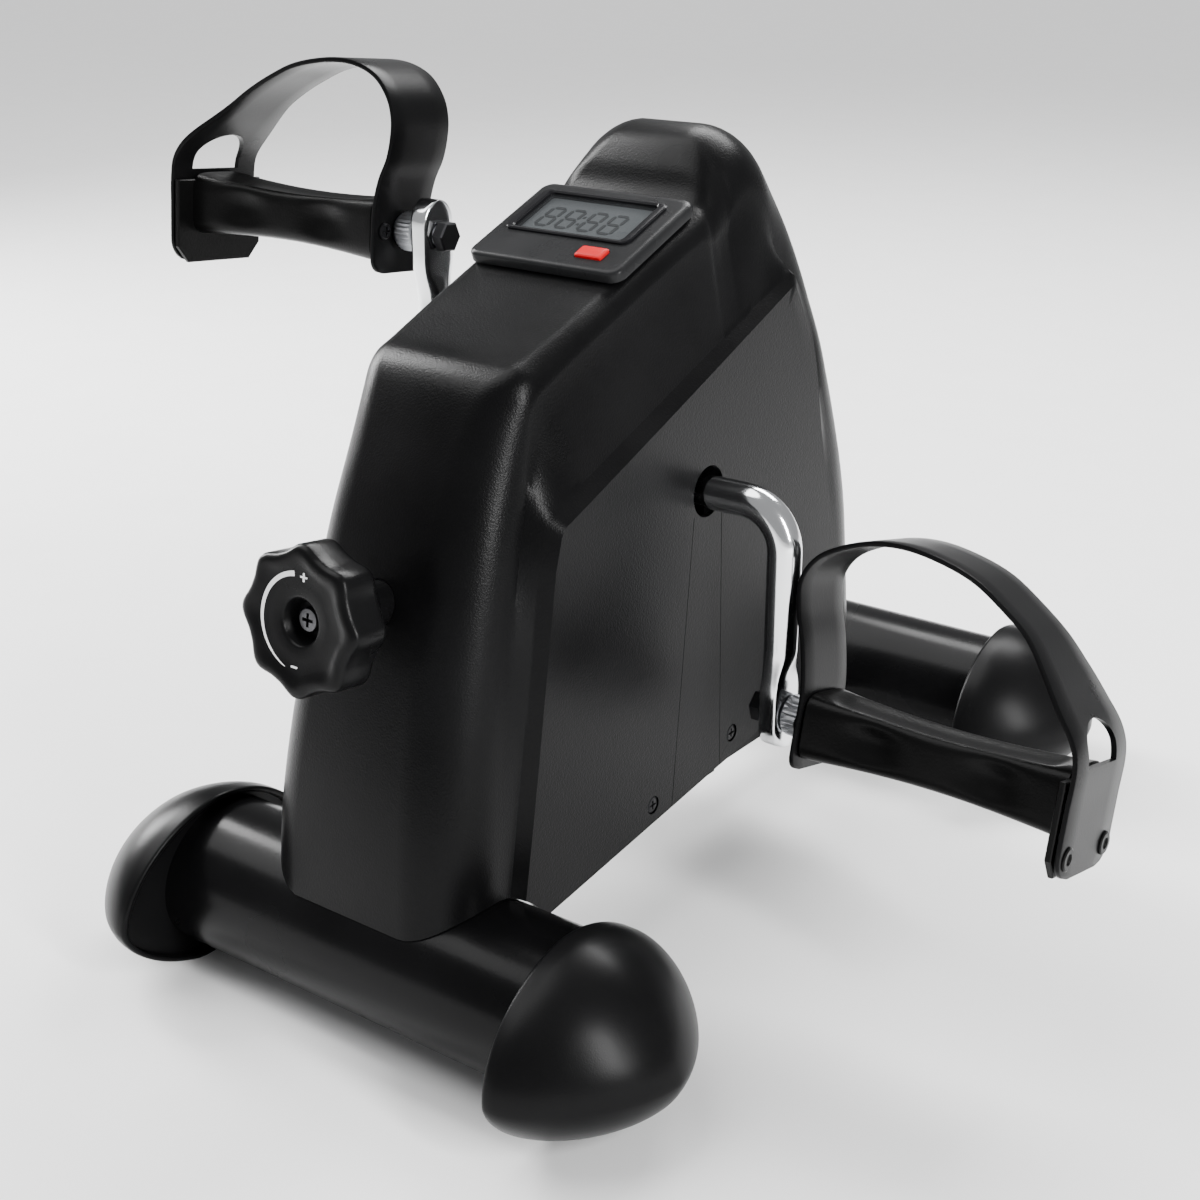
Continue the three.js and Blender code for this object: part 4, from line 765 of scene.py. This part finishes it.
def plate_outline(inset=0.0):
    """The outer end plate's outline: straight top corners, cut lower corners."""
    half = PLATE_WIDTH / 2 - inset
    top, low, foot = 10 - inset, -18, OUTER_FOOT + inset
    narrow = half - 6
    return [(half, top), (-half, top), (-half, low), (-narrow, foot), (narrow, foot), (half, low)]


def build_outer_plate(side):
    rings = [[(x, y, z) for y, z in plate_outline(inset)]
             for x, inset in ((205.6, 0.4), (206, 0), (207.6, 0), (208, 0.4))]
    plate = loft(f"pedal_end_{side}", rings, pedal_place(side), sharp=20)
    cut(plate, spindle_room(side), sharp=20)
    finish_piece(plate, f"pedal_{side}", "pedal_black", MATERIALS["pedal_black"])
    for place, sign in ENDS.items():
        profile = [(AXIS, 206), (3, 206), (3, 210.6), (4.4, 211.0), (4.4, 211.6), (3.8, 212),
                   (2.2, 212), (1.8, 211.3), (AXIS, 211.3)]
        move = pedal_place(side) @ Matrix.Translation((0, sign * STUD_Y, STUD_Z))
        stud = turn_x(f"strap_stud_{side}_{place}", profile, move)
        finish_piece(stud, f"pedal_{side}", "pedal_black", MATERIALS["pedal_black"])


def strap_half_width(x, z):
    """The band's half width: rounded corners at both feet, wider towards the outer foot."""
    inner = x < INNER_SIDE_X
    foot = INNER_FOOT if inner else OUTER_FOOT
    radius = INNER_CORNER if inner else OUTER_CORNER
    rise = min(max(z - foot, 0), radius)
    corner = radius - math.sqrt(radius ** 2 - (radius - rise) ** 2)
    widening = smoothstep(x, *WIDENING)
    wide = STRAP_WIDTH + (PLATE_WIDTH - STRAP_WIDTH) * widening
    return wide / 2 - corner


def strap_section(half, thickness):
    """Points across a strap's section, thin at its rounded edges: (out of the band, across it)."""
    edge = thickness * 0.5
    near = [(edge, -half + 0.9), (edge * 0.8, -half + 0.3), (0, -half), (-edge * 0.8, -half + 0.3),
            (-edge, -half + 0.9)]
    far = [(a, -b) for a, b in reversed(near)]
    inside = [(-edge, half * share) for share in (-0.5, 0, 0.5)]
    outside = [(edge, half * share) for share in (0.5, 0, -0.5)]
    return near + inside + far + outside


def build_strap(side):
    line = spline(STRAP_PATHS[side], 6)
    rings = []
    for i, (x, z) in enumerate(line):
        before, after = line[max(i - 1, 0)], line[min(i + 1, len(line) - 1)]
        tangent = Vector((after[0] - before[0], after[1] - before[1])).normalized()
        normal = (tangent.y, -tangent.x)
        section = strap_section(strap_half_width(x, z), BAND_THICKNESS)
        rings.append([(x + a * normal[0], b, z + a * normal[1]) for a, b in section])
    strap = loft(f"strap_band_{side}", rings, pedal_place(side), sharp=40)
    window = [(-WINDOW_WIDE, WINDOW_LOW), (WINDOW_WIDE, WINDOW_LOW)]
    for i in range(21):
        angle = math.pi * i / 20
        window.append((WINDOW_WIDE * math.cos(angle), ARCH_Z + ARCH_RISE * math.sin(angle)))
    window_rings = [[(x, y, z) for y, z in window] for x in (196, 216)]
    cutters = [loft("cutter", window_rings, pedal_place(side))]
    for sign in ENDS.values():
        stud_place = pedal_place(side) @ Matrix.Translation((0, sign * STUD_Y, STUD_Z))
        cutters.append(drill(STUD_HOLE, 204, 216, stud_place))
    cutters.append(drill(SPINDLE_HOLE, 95, 105, pedal_place(side)))
    cut(strap, cutters, sharp=40)
    slot = "strap_black"
    finish_piece(strap, f"pedal_{side}", slot, MATERIALS[slot], f"pedal_strap_{side}")


def knurl(radius, x, angle):
    """How far the spindle's collar stands out of its plain shape."""
    on_collar = radius > 7 and 90 < x < 97.5
    return KNURL_HEIGHT * math.cos(KNURLS * angle) if on_collar else 0


def build_spindle(side):
    profile = [(AXIS, 77), (4.2, 77), (4.7, 77.5), (4.7, 89), (7.2, 89), (7.7, 89.6), (7.7, 90.5),
               (7.7, 92), (7.7, 94), (7.7, 96), (7.7, 97), (7.2, 97.8), (5, 97.8), (5, 199), (6.6, 199),
               (6.6, 202.4), (6, 203), (2.8, 203), (2.8, 201), (AXIS, 201)]
    spindle = turn_x(f"spindle_{side}", profile, pedal_place(side), facets=112, ripple=knurl)
    finish_piece(spindle, "crank", "zinc_steel", MATERIALS["zinc_steel"], f"pedal_spindle_{side}")
    rings = []
    for x, scale in ((73.9, 0.88), (74.5, 1.0), (78.5, 1.0), (79.1, 0.88)):
        radius = NUT_RADIUS * scale
        corners = [k * math.pi / 3 for k in range(6)]
        rings.append([(x, radius * math.cos(a), radius * math.sin(a)) for a in corners])
    nut = loft(f"spindle_nut_{side}", rings, pedal_place(side), sharp=20)
    finish_piece(nut, "crank", "nut_black", MATERIALS["nut_black"], f"pedal_nut_{side}")


for side_name in SIDES:
    build_tread(side_name)
    build_strap(side_name)
    build_spindle(side_name)


# ------------------------------------------------------------ screws with cross recesses
SHANK_RADIUS = 1.6
SIDE_SCREW, TREAD_SCREW, KNOB_SCREW = (3.4, 1, 10), (3.2, 1.4, 12), (4.4, 2.7, 15)
TREAD_SCREW_X = 101 - STRAP_THICKNESS / 2 - 1.7  # of the head's face, inwards of the strap
TREAD_SCREW_Y = 11


def build_screw(name, body, node, size, place, slot="nut_black", material=None):
    """A pan-head screw along +x, its head's face at x = 0, with a cross recess.
    size is the head's radius, the head's depth and the whole length."""
    radius, depth, length = size
    profile = [(AXIS, -length), (SHANK_RADIUS, -length), (SHANK_RADIUS, -depth), (radius, -depth),
               (radius, -depth * 0.5), (radius * 0.86, -0.15), (radius * 0.6, 0), (AXIS, 0)]
    screw = turn_x(name, profile, place, facets=40)
    arm, half = radius * 0.55, radius * 0.13
    cutters = []
    for a, b in ((arm, half), (half, arm)):
        ring = [(a, b), (-a, b), (-a, -b), (a, -b)]
        cutters.append(loft("cutter", [[(x, y, z) for y, z in ring] for x in (-depth * 0.7, 1)], place))
    cut(screw, cutters)
    finish_piece(screw, body, slot, material or MATERIALS[slot], node)


for side_name, hand in SIDES.items():
    for place_name, (y, z) in SIDE_SCREWS.items():
        flip = Matrix.Diagonal((hand, 1, 1, 1))
        side_place = Matrix.Translation((hand * (PANEL_X - SIDE_FACE_DEPTH), y, z)) @ flip
        build_screw(f"side_screw_{side_name}_{place_name}", "frame",
                    f"housing_screw_{side_name}_{place_name}", SIDE_SCREW, side_place)
    for place_name, sign in ENDS.items():
        head_move = Matrix.Translation((TREAD_SCREW_X, sign * TREAD_SCREW_Y, 0))
        head_place = pedal_place(side_name) @ head_move
        build_screw(f"tread_screw_{side_name}_{place_name}", f"pedal_{side_name}",
                    f"strap_screw_{side_name}_{place_name}", TREAD_SCREW,
                    head_place @ Matrix.Diagonal((-1, 1, 1, 1)))


# ------------------------------------------------------------ tension knob
KNOB_LOBES = 8
MARK_RADIUS, MARK_WIDTH = 17.2, 1.7  # of the tapering arc


def lobe_radius(radius, depth, angle):
    """The knob's radius at an angle, drawn in by depth between its lobes."""
    wave = (0.5 + 0.5 * math.cos(KNOB_LOBES * angle)) ** 1.4
    return radius - depth * (1 - wave)


def knob_ring(radius, depth, y, count=192):
    """A ring of the knob at depth y behind its face, lobed by depth."""
    ring = []
    for i in range(count):
        angle = 2 * math.pi * i / count
        r = lobe_radius(radius, depth, angle)
        ring.append((r * math.cos(angle), y, r * math.sin(angle)))
    return ring


def build_knob():
    stations = [  # (radius, depth of the lobes, distance behind the face), from the screw's recess
        (0.05, 0, 9), (6.8, 0, 9), (7, 0, 8.6), (7.9, 0, 3.2), (8.4, 0, 2.5), (9.2, 0, 2.25),
        (13, 0.1, 2.1), (17.5, 0.6, 1.9), (19.5, 1.2, 1.5), (21, 1.8, 0.95), (22.4, 2.1, 0.65),
        (23.8, 2.2, 0.62), (25, 2.4, 0.95), (26, 2.6, 1.7), (26.5, 2.6, 3), (26.5, 2.6, 8),
        (26.5, 2.6, 14), (26, 2.4, 15.8), (24.6, 2, 17), (14, 0, 17), (13, 0, 17.6), (10, 0, 31),
        (4.3, 0, 31), (0.05, 0, 31),
    ]
    rings = [knob_ring(*station) for station in stations]
    knob = loft("knob_grip", rings, knob_place(), sharp=42)
    finish_piece(knob, "knob", "knob_black", MATERIALS["knob_black"], "tension_knob")


def knob_mark(name, outline):
    """A thin white print on the knob's face, from (x, z) points as the user sees it."""
    rings = [[(x, y, z) for x, z in outline] for y in (2.02, 1.62)]
    mark = loft(name, rings, knob_place())
    finish_piece(mark, "knob", "knob_black", WHITE_PRINT)


def build_knob_marks():
    steps = 40
    outer, inner = [], []
    for i in range(steps + 1):
        share = i / steps
        angle = math.radians(100 + 152 * share)
        width = MARK_WIDTH * (1 - share) ** 0.8 + 0.12
        outer.append((MARK_RADIUS * math.cos(angle), MARK_RADIUS * math.sin(angle)))
        inside = MARK_RADIUS - width
        inner.append((inside * math.cos(angle), inside * math.sin(angle)))
    knob_mark("mark_taper", outer + inner[::-1])
    plus_x, plus_z, arm, half = 1.6, 15.6, 1.5, 0.28
    corners = [(-arm, -half), (-half, -half), (-half, -arm), (half, -arm), (half, -half), (arm, -half),
               (arm, half), (half, half), (half, arm), (-half, arm), (-half, half), (-arm, half)]
    knob_mark("mark_plus", [(plus_x + x, plus_z + z) for x, z in corners])
    knob_mark("mark_minus", [(-2.4, -15.9), (0.2, -15.9), (0.2, -15.3), (-2.4, -15.3)])


build_knob()
build_knob_marks()
# the knob's screw: zinc steel with painted shade for the hole in the knob
screw_place = knob_place() @ Matrix.Translation((0, 6, 0)) @ Matrix.Rotation(-math.pi / 2, 4, "Z")
build_screw("knob_screw_head", "knob", "knob_screw", KNOB_SCREW, screw_place, "zinc_steel", KNOB_SCREW_ZINC_PAINTED_SHADE)


# ------------------------------------------------------------ monitor
WINDOW_MIDDLE, WINDOW_HALF, LCD_HALF = (-1.5, 6), (28.5, 14.5), (24.5, 12.3)
BUTTON_MIDDLE, BUTTON_HALF = (17, -16.5), (5.8, 3.2)
BEZEL_HALF = (34.5, 26.5)
DIGIT_MIDDLES = (-16.5, -7.2, 3.0, 12.3)
DIGIT_HALF_WIDTH, DIGIT_HALF_HEIGHT, DIGIT_LEAN = 2.9, 6.2, 0.5
DIGITS_Y = WINDOW_MIDDLE[1] - 0.6
COLON_X, COLON_HALF = -2.1, 0.6
SEGMENT_HALF, SEGMENT_Z = 0.75, (-1.7, -1.45)  # half width, and the faces' heights


def plate_ring(middle, half, corner, z):
    """A rounded rectangle at a height z above the monitor's face."""
    outline = rounded_rectangle(half[0], half[1], corner, 8)
    return [(middle[0] + x, middle[1] + y, z) for x, y in outline]


def shrink(half, by):
    return half[0] - by, half[1] - by


def build_bezel():
    edge = [(BEZEL_HALF, 5, -4.2), (BEZEL_HALF, 5, -1.3), (shrink(BEZEL_HALF, 0.25), 4.8, -0.7),
            (shrink(BEZEL_HALF, 0.9), 4.3, -0.2), (shrink(BEZEL_HALF, 1.6), 4, 0),
            (shrink(BEZEL_HALF, 3), 4, 0)]
    opening = [((LCD_HALF[0] + 2.6, LCD_HALF[1] + 1.2), 2.5, 0), (shrink(LCD_HALF, -0.3), 1.6, 0),
               (LCD_HALF, 1.5, -0.4), (LCD_HALF, 1.5, -4.2)]
    rings = [plate_ring((0, 0), *station) for station in edge]
    rings += [plate_ring(WINDOW_MIDDLE, *station) for station in opening]
    bezel = loft("monitor_frame", rings, monitor_place(), closed=True)
    hole = [plate_ring(BUTTON_MIDDLE, shrink(BUTTON_HALF, -0.3), 0.9, z) for z in (-9, 9)]
    cut(bezel, [loft("cutter", hole, monitor_place())])
    finish_piece(bezel, "frame", "bezel_grey", MATERIALS["bezel_grey"], "monitor_bezel")
    stations = [(WINDOW_HALF, 3.5, -0.3), (WINDOW_HALF, 3.5, 0.7), (shrink(WINDOW_HALF, 0.5), 3.2, 1.1),
                (shrink(WINDOW_HALF, 1.1), 3, 1.2), (shrink(LCD_HALF, -0.9), 2, 1.15),
                (shrink(LCD_HALF, -0.2), 1.6, 0.6), (shrink(LCD_HALF, -0.1), 1.5, -0.3)]
    surround = [plate_ring(WINDOW_MIDDLE, *station) for station in stations]
    window = loft("window_surround", surround, monitor_place(), closed=True, sharp=12)
    finish_piece(window, "frame", "bezel_grey", FRAME_BLACK)


def build_button():
    stations = [(0.5, -3), (0, -2.6), (0, 0.8), (0.35, 1.2), (0.9, 1.4)]
    rings = [plate_ring(BUTTON_MIDDLE, shrink(BUTTON_HALF, by), 0.8, z) for by, z in stations]
    button = loft("button_cap", rings, monitor_place())
    finish_piece(button, "button", "button_red", MATERIALS["button_red"], "mode_button")


SEGMENTS = {  # ends of each segment of a digit, in half widths and half heights
    "top": ((-1, 1), (1, 1)), "middle": ((-1, 0), (1, 0)), "bottom": ((-1, -1), (1, -1)),
    "upper_left": ((-1, 0), (-1, 1)), "upper_right": ((1, 0), (1, 1)),
    "lower_left": ((-1, -1), (-1, 0)), "lower_right": ((1, -1), (1, 0)),
}


def segment(start, end, half):
    """A pointed bar from start to end, as six corners; half is half of its width."""
    along = (Vector(end) - Vector(start)).normalized()
    side = Vector((-along.y, along.x)) * half
    a, b = Vector(start) + along * 0.3, Vector(end) - along * 0.3
    inner = along * half
    return [a, a + inner + side, b - inner + side, b, b - inner - side, a + inner - side]


def digit_point(middle, share_x, share_y):
    """A point of a leaning digit, from its place in half widths and half heights."""
    x = WINDOW_MIDDLE[0] + middle + DIGIT_HALF_WIDTH * share_x + DIGIT_LEAN * share_y
    return x, DIGITS_Y + DIGIT_HALF_HEIGHT * share_y


def build_digits():
    outlines = []
    for middle in DIGIT_MIDDLES:
        for start, end in SEGMENTS.values():
            ends = digit_point(middle, *start), digit_point(middle, *end)
            outlines.append(segment(*ends, SEGMENT_HALF))
    for rise in (-2.6, 2.2):
        x, y, half = WINDOW_MIDDLE[0] + COLON_X, DIGITS_Y + rise, COLON_HALF
        outlines.append([(x - half, y - half), (x + half, y - half), (x + half, y),
                         (x + half, y + half), (x - half, y + half), (x - half, y)])
    points, faces = [], []
    for outline in outlines:
        base = len(points)
        for z in SEGMENT_Z:
            points += [(p[0], p[1], z) for p in outline]
        faces.append([base + k for k in range(6)])
        faces.append([base + 6 + k for k in range(6)])
        for k in range(6):
            after = (k + 1) % 6
            faces.append([base + k, base + after, base + 6 + after, base + 6 + k])
    digits = make("lcd_digits", points, faces, monitor_place())
    finish_piece(digits, "frame", "lcd", SEGMENT_PRINT)


build_bezel()
build_button()
build_digits()
